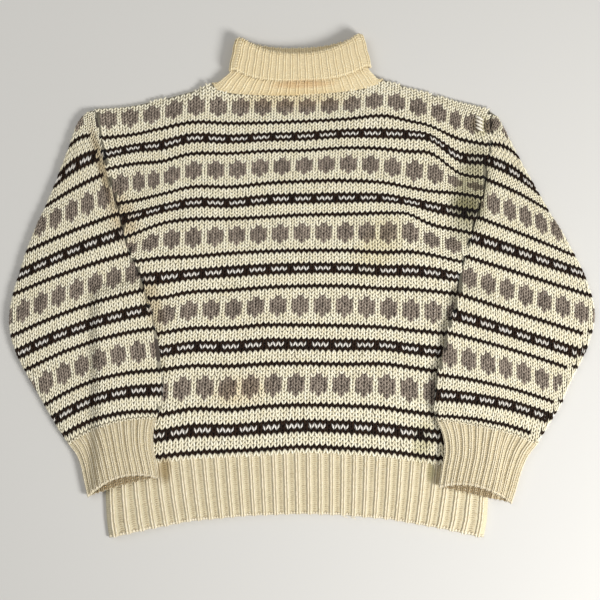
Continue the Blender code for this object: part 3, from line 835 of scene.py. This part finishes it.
DARK_SHEEN = 0.03
YARNS = {
    CREAM: yarn("ecru_wool_yarn", "#E9DFBF", "#FFFAE6", 0.35),
    DARK: yarn("black_brown_wool_yarn", "#0C0500", "#382210", 0.5, DARK_SHEEN),
    WHITE: yarn("off_white_wool_yarn", "#F0E8DA", "#FFFCF4", 0.35),
    DOT: yarn("heathered_wool_yarn", "#33271E", "#C2B3A2", 0.6, DARK_SHEEN),
}
YARN_NAMES = {CREAM: "ecru_wool", DARK: "black_wool", WHITE: "white_wool", DOT: "grey_wool"}
YARN_LENGTHS = {CREAM: LEGS, DARK: LEGS, WHITE: THIN_LEGS, DOT: FULL_LEGS}

# The groove between the body and the left sleeve, where only cream wool shows: y, left x, right x
GROOVE = (
    (105.0, -272.0, -271.6),
    (125.0, -272.6, -275.0),
    (155.0, -284.5, -279.0),
    (175.0, -293.0, -290.0),
    (200.0, -301.5, -294.5),
    (230.0, -312.0, -297.0),
    (262.0, -318.0, -299.0),
)


def in_groove(x, y):
    return (x > read(GROOVE, y, 1)) & (x < read(GROOVE, y, 2)) & (y > GROOVE[0][0]) & (y < GROOVE[-1][0])


def yarn_of(wale, course):
    """Which yarn the pattern has for each stitch."""
    kinds = np.empty((REPEAT_WALES, REPEAT_COURSES), int)
    for stripe, starts in enumerate(WALE_KINDS):
        for start, colour in starts.items():
            kinds[stripe, start:] = colour
    found = kinds[wale.astype(int) % REPEAT_WALES, course.astype(int) % REPEAT_COURSES]
    return np.where(course < PLAIN_ABOVE, CREAM, found)


def stranded_stitches(name, surface, wale, course, kinds):
    """Knits every stitch of a piece, one mesh for each yarn."""
    pieces = []
    for colour, word in YARN_NAMES.items():
        chosen = kinds == colour
        frames = stitch_frames(surface, wale[chosen], course[chosen])
        pieces.append(stitches(name + "_" + word, YARN_LENGTHS[colour], frames, YARNS[colour]))
    return pieces


# Painted shade: the cloth under the stitches is darkened to a third, as it lies in their shadow
under_stitches = stranded_cloth("stranded_wool_under_stitches", 0.32)
front_panel = cloth("front_panel_cloth", body_grid(), front_place, under_stitches)
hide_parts("front_panel")

def spread(wales, courses):
    """Every stitch of some wales and courses."""
    wale, course = np.meshgrid(wales, courses)
    return wale.ravel(), course.ravel()


# Stitches are knitted as far as they show: a little way in under the sleeves, half a millimetre past
# the shoulders and one course into the rib
UNDER_SLEEVE = 15.0
EDGE_STITCH = 1.2
PAST_SHOULDER = 0.5
wale, course = spread(np.arange(-40.0, 44.0), np.arange(-14.0, 96.0))
x, y = body_xy(wale, course)
left_edge = read(LEFT_INNER, -y, 1) + np.where(y > LEFT_SLEEVE[UNDERARM][4], EDGE_STITCH, -UNDER_SLEEVE)
right_edge = read(RIGHT_INNER, -y, 1) - np.where(y > RIGHT_SLEEVE[UNDERARM][4], EDGE_STITCH, -UNDER_SLEEVE)
shown = (x > left_edge) & (x < right_edge) & (y < read(TOP_EDGE, x, 1) + PAST_SHOULDER)
wale, course = wale[shown], course[shown]
kinds = np.where(in_groove(x[shown], y[shown]), CREAM, yarn_of(wale, course))
front_stitches = stranded_stitches("front_panel", front_surface, wale, course, kinds)

# A darn at the right shoulder: short lengths of white yarn across a worn place, in millimetres
DARN_X = np.full(4, 259.0)
DARN_Y = np.array((232.5, 237.7, 242.9, 248.1))
DARN = (
    (-6.8, 3.2, -0.6, 0.0, 0.0),
    (-3.5, 1.7, 1.3, 1.7, 1.1),
    (0.0, 0.0, 1.8, 2.0, 1.2),
    (3.5, -1.7, 1.3, 1.7, 1.1),
    (6.8, -3.4, -0.6, 0.0, 0.0),
)
# Clean bleached wool, newer than the cloth round it, so no wear or yellowing shows on it
darning_wool, _, darning_shader = new_material("bleached_darning_wool")
darning_shader.inputs["Base Color"].default_value = linear("#EFE8D8")
woollen(darning_shader)


def loose_ends(name, path, x, y, height, material):
    """Lengths of yarn that lie on the cloth at given places."""
    inside, share = front_heights(x, y)
    middle = np.stack([x, y, inside + height * share], axis=1)
    ways = [np.tile(way, (len(x), 1)) for way in np.eye(3)]
    return stitches(name, (yarn_length(path, across=True),), (middle, *ways), material)


front_stitches.append(loose_ends("shoulder_darn", DARN, DARN_X, DARN_Y, WALL, darning_wool))

# Front hem rib
# Knit one, purl one rib in cream wool, 33 ribs across. The knit columns stand up as narrow chains of
# V stitches and the purl columns lie back, with their small bars across.
RIB_CREST = 4.6
RIB_VALLEY = 3.0
HEM_COURSES = 31
RIB_SEAT = 1.6
RIB_DROP = 1.5


def rib_height(rib):
    """The rib's wall: a crest in the middle of each knit column and a valley between two."""
    return mix(RIB_VALLEY, RIB_CREST, 0.5 - 0.5 * np.cos(math.tau * rib))


def front_hem_surface(rib, course):
    x, y = hem_plan(rib, 1.0 - (course + 0.5) / HEM_COURSES)
    inside, share = front_heights(x, y)
    return np.stack([x, y, inside + rib_height(rib) * share - RIB_SEAT], axis=1)


def front_hem_place(column, row, upper):
    rib = column / HEM_CELLS
    x, y = hem_plan(rib, row / HEM_ROWS)
    points = on_front(x, y, lambda share: rib_height(rib) * share - RIB_DROP, upper)
    return points, np.stack([rib, row * COURSES_A_ROW], axis=1)


RIB_LEG = (
    (0.134, 1.1, -0.3, 0.0, 0.0),
    (0.124, 0.5, 0.5, 0.068, 0.8),
    (0.11, 0.0, 0.7, 0.076, 0.9),
    (0.096, -0.5, 0.55, 0.068, 0.8),
    (0.086, -1.1, -0.3, 0.0, 0.0),
)
PURL_BAR = (
    (0.13, -0.3, -0.6, 0.0, 0.0),
    (0.31, 0.08, 0.35, 0.3, 0.65),
    (0.5, 0.22, 0.55, 0.34, 0.7),
    (0.69, 0.08, 0.35, 0.3, 0.65),
    (0.87, -0.3, -0.6, 0.0, 0.0),
)
EDGE_BAR = (
    (-0.17, -0.3, -1.2, 0.0, 0.0),
    (-0.08, 0.2, 0.3, 0.6, 0.9),
    (0.0, 0.3, 0.6, 0.7, 1.1),
    (0.08, 0.2, 0.3, 0.6, 0.9),
    (0.17, -0.3, -1.2, 0.0, 0.0),
)
RIB_LEGS = (yarn_length(RIB_LEG), yarn_length(mirrored(RIB_LEG)))
PURL_BARS = (yarn_length(PURL_BAR, across=True),)
EDGE_BARS = (yarn_length(EDGE_BAR, across=True),)
# The cuffs' and the collar's ribs are narrower than the hem's, so a leg takes up more of each
NARROW = 1.5
NARROW_YARN = 1.15
NARROW_LEG = tuple((step[0] * NARROW, *step[1:3], step[3] * NARROW_YARN, step[4]) for step in RIB_LEG)
NARROW_LEGS = (yarn_length(NARROW_LEG), yarn_length(mirrored(NARROW_LEG)))
NARROW_BAR = (
    (0.22, -0.3, -0.6, 0.0, 0.0),
    (0.35, 0.08, 0.2, 0.46, 0.6),
    (0.5, 0.2, 0.35, 0.5, 0.65),
    (0.65, 0.08, 0.2, 0.46, 0.6),
    (0.78, -0.3, -0.6, 0.0, 0.0),
)
NARROW_BARS = (yarn_length(NARROW_BAR, across=True),)
RIB_LOOSE = 0.007
BOUND_OFF_PER_RIB = 4
LEAST_UP = -0.4


def facing_up(frames):
    """Leaves out the stitches that would lie against the surface below."""
    seen = frames[3][:, 2] > LEAST_UP
    return tuple(part[seen] for part in frames)


def ribbing(name, surface, ribs, courses, material, behind=None, legs=NARROW_LEGS, bars=NARROW_BARS):
    """The knit and the purl columns of a rib. Ribs are the middles of the knit columns."""
    rib, course = spread(ribs, courses.astype(float))
    frames = facing_up(stitch_frames(surface, rib, course))
    knit = stitches(name + "_knit", legs, frames, material, RIB_LOOSE)
    inner = rib < max(ribs)
    middle, across, up, out = stitch_frames(surface, rib[inner], course[inner])
    halfway = surface(rib[inner] + 0.5, course[inner])
    frames = facing_up((halfway - across * 0.5, across, up, out))
    purl = stitches(name + "_purl", bars, frames, behind or material, RIB_LOOSE)
    return [knit, purl]


def bound_off(name, surface, first, last, course, material):
    """The chain of bound-off stitches along the edge of a rib."""
    rib = np.arange(first, last, 1 / BOUND_OFF_PER_RIB) + 0.5 / BOUND_OFF_PER_RIB
    frames = facing_up(stitch_frames(surface, rib, np.full(len(rib), float(course))))
    return stitches(name + "_bound_off", EDGE_BARS, frames, material, RIB_LOOSE)


rib_yarn = yarn("ecru_rib_yarn", "#DACBA9", "#F8EED6", 0.35)
# The same wool where it lies back in the purl columns: darker with painted shade from the ribs, and more
# speckled
purl_yarn = yarn("ecru_purl_yarn", "#B2A07C", "#E6D8B6", 0.8)
# Painted shade: the rib's cloth under its stitches is a little darker, as it lies in their shadow
rib_under = rib_cloth("ribbed_wool_under_stitches", RIB_CREAM, 0.85)
front_hem = cloth("front_hem_cloth", hem_grid(), front_hem_place, rib_under)
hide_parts("front_hem_rib")
hem_ribs, hem_courses = np.arange(HEM_RIBS) + 0.5, np.arange(1.0, HEM_COURSES)
front_hem_stitches = ribbing(
    "front_hem", front_hem_surface, hem_ribs, hem_courses, rib_yarn, purl_yarn, RIB_LEGS, PURL_BARS
)
front_hem_stitches.append(
    bound_off("front_hem", front_hem_surface, 0, HEM_RIBS, HEM_COURSES - 1, rib_yarn)
)
# Two loose tails of yarn where the edge is frayed
TAIL = (
    (-5.0, 3.0, -0.5, 0.0, 0.0),
    (-2.5, -1.5, 0.6, 0.8, 0.7),
    (0.5, -3.5, 0.8, 0.8, 0.7),
    (3.5, -3.8, 0.2, 0.7, 0.6),
    (6.0, -7.0, -1.0, 0.0, 0.0),
)
TAIL_X = np.array((62.0, 74.0))
TAIL_Y = np.array((-331.0, -332.5))
front_hem_stitches.append(
    loose_ends("frayed_tails", TAIL, TAIL_X, TAIL_Y, RIB_VALLEY, rib_yarn)
)

# Sleeves
# Each is a tube of the same stranded wool, folded flat. It is sewn to the armhole, leaves the body at
# the underarm and lies over it. Only its upper layer and its folds show their stitches.
LAYERS = 2 * WALL + HOLLOW
FOLD = LAYERS / 2
HALF_TURN = FOLD * math.pi / 2
# How high a sleeve lies over the body, how wide its climb is, and the courses where it starts to climb
OVER_BODY = 11.2
RAMP = 24.0
UNDERARM_COURSE = 36.5
OVER_COURSE = 42.0

# The knitting on a sleeve: course, distance of a dot's middle from the outer fold, width of a stitch
LEFT_WALES = (
    (-10.0, -62.0, 6.2),
    (-5.5, -49.4, 6.25),
    (15.5, 11.5, 6.35),
    (36.5, 54.6, 7.05),
    (57.5, 22.5, 7.15),
    (75.0, -22.0, 7.0),
)
RIGHT_WALES = (
    (-10.0, -96.0, 6.0),
    (-5.5, -77.0, 6.05),
    (15.5, 13.6, 6.2),
    (36.5, 52.9, 7.12),
    (57.5, 17.2, 7.0),
    (75.0, -22.0, 7.0),
)
# The right sleeve's seam shows near its outer fold: rows meet it a course apart. Its own column of
# stitches is black between the rows of a band, and cream elsewhere
SEAM_FROM = 40.0
SEAM_ARC = 14.5
BAND_COURSES = (4, 5, 6)


def sleeve_lift(side, x, y, course):
    inward = (side_x(side, y) - x) * side
    return OVER_BODY * smooth(-RAMP, -1.0, inward) * smooth(UNDERARM_COURSE, OVER_COURSE, course)


def tube_point(side, rings, at, arc, course, closed, proud):
    """A point on a tube folded flat. Arc runs round it from its outer fold, over the top if positive."""
    keys = rings[:, 0]
    outer_x, outer_y, inner_x, inner_y, bow, puff = (along(keys, column, at) for column in rings[:, 1:].T)
    ax, ay = outer_x - inner_x, outer_y - inner_y
    width = np.hypot(ax, ay)
    ax, ay = ax / width, ay / width
    flat = np.maximum(width - 2 * FOLD, 0.0)
    over = abs(arc)
    layer = np.where(arc >= 0.0, 1.0, -1.0)
    outer_turn = np.clip(over, 0.0, HALF_TURN) / FOLD
    run = np.clip(over - HALF_TURN, 0.0, flat)
    inner_turn = np.clip(over - HALF_TURN - flat, 0.0, HALF_TURN) / FOLD
    reach = width - FOLD + (FOLD + proud) * np.cos(outer_turn) - run
    flat_inner = FOLD * inner_turn / (math.pi / 2)
    reach = reach - mix(flat_inner, FOLD * np.sin(inner_turn), closed) + HALF_SEAM * (inner_turn > 0)
    height = np.sin(outer_turn) * mix(1.0, np.cos(inner_turn), closed)
    rise = FOLD + layer * (FOLD + proud) * height
    share = reach / width
    bend = bow * 4.0 * share * (1.0 - share)
    x = inner_x + ax * reach - ay * side * bend
    y = inner_y + ay * reach + ax * side * bend
    dome = np.where(arc > 0.0, puff * height * np.sin(math.pi * np.clip(share, 0.0, 1.0)) ** 0.6, 0.0)
    z = sleeve_lift(side, x, y, course) + rise + dome
    return np.stack([x, y, z], axis=1), flat


def draw_wall(piece, thickness, offset=-1.0):
    wall = piece.modifiers.new("wall", "SOLIDIFY")
    wall.thickness = thickness * MM
    wall.offset = offset
    wall.use_even_offset = True


TUBE_TOP = 30
TUBE_FOLD = 4


def tube_arc(column, flat):
    """Columns round a tube, from the inner end of its underside to that of its top."""
    half = TUBE_TOP + 2 * TUBE_FOLD
    step = column - half
    part = abs(step)
    fold_arc = np.clip(part / TUBE_FOLD, 0, 1) * HALF_TURN
    run = np.clip((part - TUBE_FOLD) / TUBE_TOP, 0, 1) * flat
    inner_arc = np.clip((part - TUBE_FOLD - TUBE_TOP) / TUBE_FOLD, 0, 1) * HALF_TURN
    return np.sign(step) * (fold_arc + run + inner_arc)


def tube_grid(rows):
    return grid(2 * (TUBE_TOP + 2 * TUBE_FOLD), rows)


def weld(piece):
    """Closes the inner fold where the two edges of the grid meet."""
    bm = bmesh.new()
    bm.from_mesh(piece.data)
    bmesh.ops.remove_doubles(bm, verts=bm.verts, dist=0.02 * MM)
    bmesh.ops.recalc_face_normals(bm, faces=bm.faces)
    bm.to_mesh(piece.data)
    bm.free()


SLEEVE_ROWS = 86
FIRST_COURSE = -10.0
LAST_COURSE = 75.0
SLEEVE_DROP = 2.0
CLOSES_FROM = 26.0
# Stitches run from below the outer fold to the inner one: into the armhole, or round the closed fold
BELOW_FOLD = 1.6
IN_ARMHOLE = 0.45
ROUND_INNER = 0.4


def closed_at(course):
    """How far the inner fold is closed: open at the armhole, and round below the underarm."""
    return smooth(CLOSES_FROM, UNDERARM_COURSE, course)


for side, word, table, wales in (
    (-1, "left", LEFT_SLEEVE, LEFT_WALES),
    (1, "right", RIGHT_SLEEVE, RIGHT_WALES),
):
    rings = np.array(table)
    wale_keys, dot_arc, stitch_width = np.array(wales).T

    def sleeve_point(course, arc, proud):
        return tube_point(side, rings, course, arc, course, closed_at(course), proud)

    def sleeve_place(column, row, upper):
        course = mix(FIRST_COURSE, LAST_COURSE, row / SLEEVE_ROWS)
        _, flat = sleeve_point(course, column * 0.0, 0.0)
        arc = tube_arc(column, flat)
        points, _ = sleeve_point(course, arc, -SLEEVE_DROP)
        wale = (arc - along(wale_keys, dot_arc, course)) / along(wale_keys, stitch_width, course)
        return points, np.stack([wale, course], axis=1)

    def sleeve_arc(wale, course):
        return along(wale_keys, dot_arc, course) - side * wale * along(wale_keys, stitch_width, course)

    def sleeve_surface(wale, course):
        points, _ = sleeve_point(course, sleeve_arc(wale, course), -SEAT)
        return points

    shell = tube_grid(SLEEVE_ROWS)
    sleeve = cloth(word + "_sleeve_cloth", shell, sleeve_place, under_stitches)
    weld(sleeve)
    draw_wall(sleeve, WALL - SLEEVE_DROP)
    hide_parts(word + "_sleeve")
    wale, course = spread(np.arange(-40.0, 41.0), np.arange(FIRST_COURSE + 1, LAST_COURSE + 1))
    _, flat = sleeve_point(course, wale * 0.0, 0.0)
    width = along(wale_keys, stitch_width, course)
    arc = sleeve_arc(wale, course)
    past_flat = mix(HALF_TURN - IN_ARMHOLE * width, ROUND_INNER * width, closed_at(course))
    last = HALF_TURN + flat + past_flat
    shown = (arc > -BELOW_FOLD * width) & (arc < last)
    wale, course, arc, width = wale[shown], course[shown], arc[shown], width[shown]
    kinds = yarn_of(wale, course)
    if side > 0:
        seamed = course > SEAM_FROM
        kinds = np.where(seamed & (arc < SEAM_ARC), yarn_of(wale, np.minimum(course + 1, LAST_COURSE)), kinds)
        over_seam = np.where(np.isin(course % REPEAT_COURSES, BAND_COURSES), DARK, CREAM)
        kinds = np.where(seamed & (abs(arc - SEAM_ARC) < width / 2), over_seam, kinds)
        kinds = np.where(seamed & (arc < SEAM_ARC) & (kinds == DOT), CREAM, kinds)
    else:
        places = sleeve_surface(wale, course)
        kinds = np.where(in_groove(places[:, 0], places[:, 1]), CREAM, kinds)
    pieces = stranded_stitches(word + "_sleeve", sleeve_surface, wale, course, kinds)

# Cuffs
# Knit one, purl one rib in cream wool at the end of each sleeve, drawn in and bound off. The mouth
# is open, and the lower layer's edge shows below the upper one.
CUFF_RIBS = 12
CUFF_COURSES = 28
LEFT_CUFF = (
    (0.0, -341.5, -228.7, -212.0, -190.2, 12.0, 2.4),
    (1.0, -331.0, -242.8, -215.6, -206.3, 10.0, 3.0),
    (2.0, -324.1, -259.9, -216.1, -229.2, 8.0, 3.0),
    (3.0, -319.0, -283.2, -211.7, -252.6, 6.0, 3.0),
    (4.0, -313.9, -305.6, -207.3, -275.9, 4.0, 3.4),
)
RIGHT_CUFF = (
    (0.0, 344.0, -228.7, 197.3, -193.6, 7.0, 2.4),
    (1.0, 331.0, -245.7, 204.4, -212.2, 5.0, 3.0),
    (2.0, 321.2, -268.6, 207.3, -235.1, 3.0, 3.0),
    (3.0, 313.9, -293.9, 202.9, -261.3, 2.0, 3.0),
    (4.0, 307.3, -315.0, 198.6, -289.1, 1.0, 3.2),
)
CUFF_ROWS = 20
CUFF_WALL = 2.4
CUFF_DROP = 1.1
CUFF_SEAT = 1.2
# How far back the upper layer's edge lies in the middle of the mouth, in rings of the table
MOUTH_ARCH = 0.48
MOUTH_COURSES = 5
# Painted shade: the wool inside the mouth of a cuff is darkened, as it lies in the cuff's shadow
shaded_yarn = yarn("rib_yarn_in_painted_shade", "#8A7452", "#C4AE86", 0.5)

for side, word, table, flat_size in (
    (-1, "left", LEFT_CUFF, (0.26, 0.085)),
    (1, "right", RIGHT_CUFF, (0.27, 0.096)),
):
    rings = np.array(table)
    last_ring = rings[-1, 0]
    # The rib's first stitches reach in over the sleeve's last ones
    rings = np.vstack([mix(rings[0], rings[1], -0.25), rings])

    def cuff_point(at, arc, proud):
        return tube_point(side, rings, at, arc, at * 0.0 + OVER_COURSE, 1.0, proud)

    def cuff_rib(arc, flat):
        return (arc - HALF_TURN) * CUFF_RIBS / flat

    def mouth(rib):
        """Where a rib of the upper layer ends."""
        return last_ring - MOUTH_ARCH * np.sin(math.pi * np.clip(rib / CUFF_RIBS, 0.0, 1.0)) ** 0.7

    def cuff_place(column, row, upper):
        at = row / CUFF_ROWS * last_ring
        _, flat = cuff_point(at, column * 0.0, 0.0)
        rib = cuff_rib(tube_arc(column, flat), flat)
        at = row / CUFF_ROWS * mouth(rib)
        _, flat = cuff_point(at, column * 0.0, 0.0)
        points, _ = cuff_point(at, tube_arc(column, flat), rib_height(rib) - WALL - CUFF_DROP)
        return points, np.stack([rib, row], axis=1)

    def on_cuff(rib, course, end, layer, proud):
        """A point on the upper layer or, where layer is -1, on the lower one."""
        at = (course + 0.5) / CUFF_COURSES * end
        _, flat = cuff_point(at, rib * 0.0, 0.0)
        turned = rib if side < 0 else CUFF_RIBS - rib
        points, _ = cuff_point(at, layer * (HALF_TURN + turned * flat / CUFF_RIBS), proud)
        return points

    def cuff_surface(rib, course):
        return on_cuff(rib, course, mouth(rib), 1.0, rib_height(rib) - WALL - CUFF_SEAT)

    def mouth_surface(rib, course):
        """The inside of the lower layer, which shows in the mouth below the upper layer's edge."""
        return on_cuff(rib, course, last_ring, -1.0, -WALL)

    cuff = cloth(word + "_cuff_cloth", tube_grid(CUFF_ROWS), cuff_place, rib_under)
    weld(cuff)
    draw_wall(cuff, CUFF_WALL)
    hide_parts(word + "_cuff")
    ribs = np.arange(-1, CUFF_RIBS + 1) + 0.5
    courses = np.arange(-1.0, CUFF_COURSES)
    pieces = ribbing(word + "_cuff", cuff_surface, ribs, courses, rib_yarn, purl_yarn)
    edge = bound_off(
        word + "_cuff", cuff_surface, -0.5, CUFF_RIBS + 0.5, CUFF_COURSES - 1, rib_yarn
    )
    inside = ribbing(
        word + "_cuff_inside", mouth_surface, ribs[1:-1], courses[-MOUTH_COURSES:], shaded_yarn
    )
    pieces += [edge, *inside]

# Collar
# A tall rib picked up round the neck, in the warmer cream of an older dye lot. It stands up, turns
# over at the rim and hangs down over its own stand.
COLLAR_RIBS = 17
# Rings from the pick-up row over the rim to the turnover's edge: middle x, half width, side y, front y,
# back y, front z, back z, and how sharply the front hangs down between its sides
COLLAR = (
    (-6.6, 125.6, 299.0, 283.0, 291.5, 8.3, 2.0, 3.0),
    (-6.3, 117.0, 304.0, 291.0, 297.0, 9.6, 2.9, 3.0),
    (-5.2, 107.0, 309.0, 300.5, 304.5, 11.3, 6.3, 3.0),
    (-4.2, 99.0, 318.0, 311.0, 313.0, 12.4, 6.7, 3.0),
    (-3.7, 91.5, 345.0, 329.0, 337.0, 12.6, 6.7, 2.6),
    (-3.7, 88.5, 357.0, 337.0, 347.0, 13.0, 6.5, 2.4),
    (-3.7, 88.6, 364.0, 340.6, 350.4, 14.8, 4.8, 2.4),
    (-3.7, 91.2, 364.5, 340.2, 350.0, 17.6, 2.4, 2.4),
    (-3.7, 94.5, 357.5, 335.0, 345.0, 18.2, 1.9, 2.4),
    (-3.5, 97.5, 343.0, 322.0, 333.0, 18.2, 1.8, 2.6),
    (-3.2, 101.0, 331.0, 311.0, 321.0, 18.0, 1.8, 2.8),
    (-3.0, 102.6, 319.5, 301.5, 311.0, 17.4, 1.8, 3.0),
)
COLLAR_TILT = 2.8
# How far the collar stands off the shoulder seams at the two sides of the neck
SIDE_CLEAR = 1.8
# The distance from the pick-up row to each ring of COLLAR, up the front
COLLAR_WAY = np.array((0.0, 8.6, 18.3, 28.9, 46.9, 54.9, 59.0, 61.8, 67.1, 80.1, 91.1, 100.6))
COLLAR_COURSE = 3.4
COLLAR_CELLS = 6
COLLAR_ROWS = 40
# Ways up from the pick-up row to the rim, to the turnover's first stitches and to the stand's last
# ones, and how far down from the rim the inside shows
RIM = 57.0
TURNOVER_FROM = 52.0
STAND_SHOWS = 34.0
INSIDE_SHOWS = 38.0
COLLAR_LENGTH = COLLAR_WAY[-1]
SIDE_RIBS = 2
ROUND = 2 * (COLLAR_RIBS + SIDE_RIBS)
COLLAR_WALL = 2.4
COLLAR_SEAT = 0.3
COLLAR_CREST = 0.7
STAND_COURSES = 9
PICK_UP_COURSE = 9.3
PICK_UP_APART = 0.22
EDGE_BACK = 0.4


def collar_point(rib, at):
    """The middle of the collar's wall. Ribs run from the left over the front, and back behind."""
    rib = np.mod(rib, ROUND)
    at = np.clip(at, 0.0, COLLAR_LENGTH)
    columns = (along(COLLAR_WAY, column, at) for column in np.array(COLLAR).T)
    centre, half, side_y, front_y, back_y, front_z, back_z, hang = columns
    radius = (front_z - back_z) / 2
    flat = half - radius
    front = rib <= COLLAR_RIBS
    behind = rib - COLLAR_RIBS - SIDE_RIBS
    back = (behind >= 0) & (behind <= COLLAR_RIBS)
    level = front | back
    value = np.where(front, rib / COLLAR_RIBS * 2 - 1, 1 - behind / COLLAR_RIBS * 2)
    value = np.clip(value, -1.0, 1.0)
    right = (rib > COLLAR_RIBS) & (behind < 0)
    turn = np.where(right, rib - COLLAR_RIBS, ROUND - rib) / SIDE_RIBS * math.pi
    way = np.where(right, 1.0, -1.0)
    x = centre + np.where(level, flat * value, way * (flat + radius * np.sin(turn)))
    z = np.where(level, np.where(front, front_z, back_z), mix(back_z, front_z, 0.5 + 0.5 * np.cos(turn)))
    y = np.where(level, mix(np.where(front, front_y, back_y), side_y, abs(value) ** hang), side_y)
    y = y + COLLAR_TILT * (x - centre) / half
    # The pick-up row lies along the neck edge
    edge_x = np.clip(x, NECK_LEFT, NECK_RIGHT)
    front_edge, back_edge = read(TOP_EDGE, edge_x, 1), read(TOP_EDGE, edge_x, 2)
    edge = np.where(front, front_edge, np.where(back, back_edge, np.maximum(front_edge, back_edge)))
    edge = edge + 2 * SEAM + SIDE_CLEAR * abs((x - centre) / half) ** 12
    y = mix(edge, y, smooth(0.0, COLLAR_WAY[2], at))
    return np.stack([x, y, z], axis=1)


def collar_place(column, row, upper):
    rib = column / COLLAR_CELLS
    at = row / COLLAR_ROWS * COLLAR_LENGTH
    return collar_point(rib, at), np.stack([rib, at / COLLAR_COURSE], axis=1)


def stood_out(surface):
    """A surface moved out of the wall: the stitches stand on its near side, highest on each rib."""

    def moved(rib, course):
        middle, _, _, out = stitch_frames(surface, rib, course)
        crest = 0.5 - 0.5 * np.cos(math.tau * rib)
        return middle + out * (COLLAR_SEAT + COLLAR_CREST * crest)[:, None]

    return moved


def stand_surface(rib, course):
    return collar_point(rib, STAND_SHOWS - course * COLLAR_COURSE)


def turnover_surface(rib, course):
    return collar_point(rib, TURNOVER_FROM + course * COLLAR_COURSE)


def inside_surface(rib, course):
    """The back of the collar from inside the neck, where it shows over the front's rim."""
    return collar_point(ROUND - rib, RIM - course * COLLAR_COURSE)


# Painted shade: the collar's cloth under its stitches is a little darker, as it lies in their shadow
collar_under = rib_cloth("collar_wool_under_stitches", "#F0DDB2", 0.9)
shell = grid(ROUND * COLLAR_CELLS, COLLAR_ROWS)
collar = cloth("collar_cloth", shell, collar_place, collar_under)
weld(collar)
draw_wall(collar, COLLAR_WALL, 0.0)
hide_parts("collar")
collar_yarn = yarn("collar_wool_yarn", "#ECD8AA", "#FCF1D0", 0.35)
around = np.arange(ROUND + 1) + 0.5
inside_ribs = np.arange(COLLAR_RIBS) + 0.5 + SIDE_RIBS
turned_over = (COLLAR_LENGTH - TURNOVER_FROM) / COLLAR_COURSE
collar_stitches = []
for word, surface, ribs, courses in (
    ("stand", stand_surface, around, STAND_COURSES),
    ("turnover", turnover_surface, around, int(turned_over) + 1),
    ("inside", inside_surface, inside_ribs, int(INSIDE_SHOWS / COLLAR_COURSE)),
):
    collar_stitches += ribbing(
        "collar_" + word, stood_out(surface), ribs, np.arange(courses), collar_yarn
    )
collar_edge = stood_out(turnover_surface)
collar_stitches.append(
    bound_off("collar", collar_edge, 0, ROUND, turned_over - EDGE_BACK, collar_yarn)
)
# Two stitches are picked up for each rib, with a small hole left between one pair and the next
picked = np.concatenate([around - PICK_UP_APART, around + PICK_UP_APART])
frames = facing_up(stitch_frames(stood_out(stand_surface), picked, np.full(len(picked), PICK_UP_COURSE)))
collar_stitches.append(
    stitches("collar_pick_up", NARROW_LEGS, frames, collar_yarn, RIB_LOOSE)
)

# Floor, light and camera
# A pale matt floor that reaches past the horizon, soft light from the lower right as in the
# photograph, and the camera straight above. Sizes here are in metres and watts.
FLOOR_REACH = 15.0
bm = bmesh.new()
bmesh.ops.create_grid(bm, x_segments=1, y_segments=1, size=FLOOR_REACH)
floor_mesh = bpy.data.meshes.new("floor")
bm.to_mesh(floor_mesh)
bm.free()
floor_material, floor_tree, floor_shader = new_material("pale_floor")
floor_shader.inputs["Base Color"].default_value = linear("#D2D0CB")
floor_shader.inputs["Roughness"].default_value = 0.95
floor_shader.inputs["Specular IOR Level"].default_value = 0.1
floor_mesh.materials.append(floor_material)
floor = bpy.data.objects.new("floor", floor_mesh)
bpy.context.scene.collection.objects.link(floor)


def softbox(name, place, size, watts):
    """A round soft light that faces the sweater."""
    data = bpy.data.lights.new(name, "AREA")
    data.shape = "DISK"
    data.size = size
    data.energy = watts
    lamp = bpy.data.objects.new(name, data)
    bpy.context.scene.collection.objects.link(lamp)
    lamp.location = place
    lamp.rotation_euler = (-Vector(place)).to_track_quat("-Z", "Y").to_euler()


softbox("key_light", place=(1.5, -0.9, 1.4), size=0.8, watts=50.0)
softbox("fill_light", place=(-1.3, 1.0, 2.0), size=1.6, watts=15.0)
world = bpy.data.worlds.new("studio")
world.use_nodes = True
world.node_tree.nodes["Background"].inputs["Color"].default_value = (1.0, 1.0, 1.0, 1.0)
world.node_tree.nodes["Background"].inputs["Strength"].default_value = 0.35
bpy.context.scene.world = world
bpy.context.scene.view_settings.view_transform = "Standard"

# The photograph is this wide at the level of the cloth's upper face. The sensor is in millimetres
CAMERA_HEIGHT = 1.5
CAMERA_X = -0.0029
CAMERA_Y = -0.019
CLOTH_TOP = 0.011
PHOTO_WIDTH = 0.876
SENSOR = 36.0
camera_data = bpy.data.cameras.new("camera")
camera_data.sensor_width = SENSOR
camera_data.lens = SENSOR * (CAMERA_HEIGHT - CLOTH_TOP) / PHOTO_WIDTH
camera = bpy.data.objects.new("camera", camera_data)
camera.location = (CAMERA_X, CAMERA_Y, CAMERA_HEIGHT)
bpy.context.scene.collection.objects.link(camera)
bpy.context.scene.camera = camera
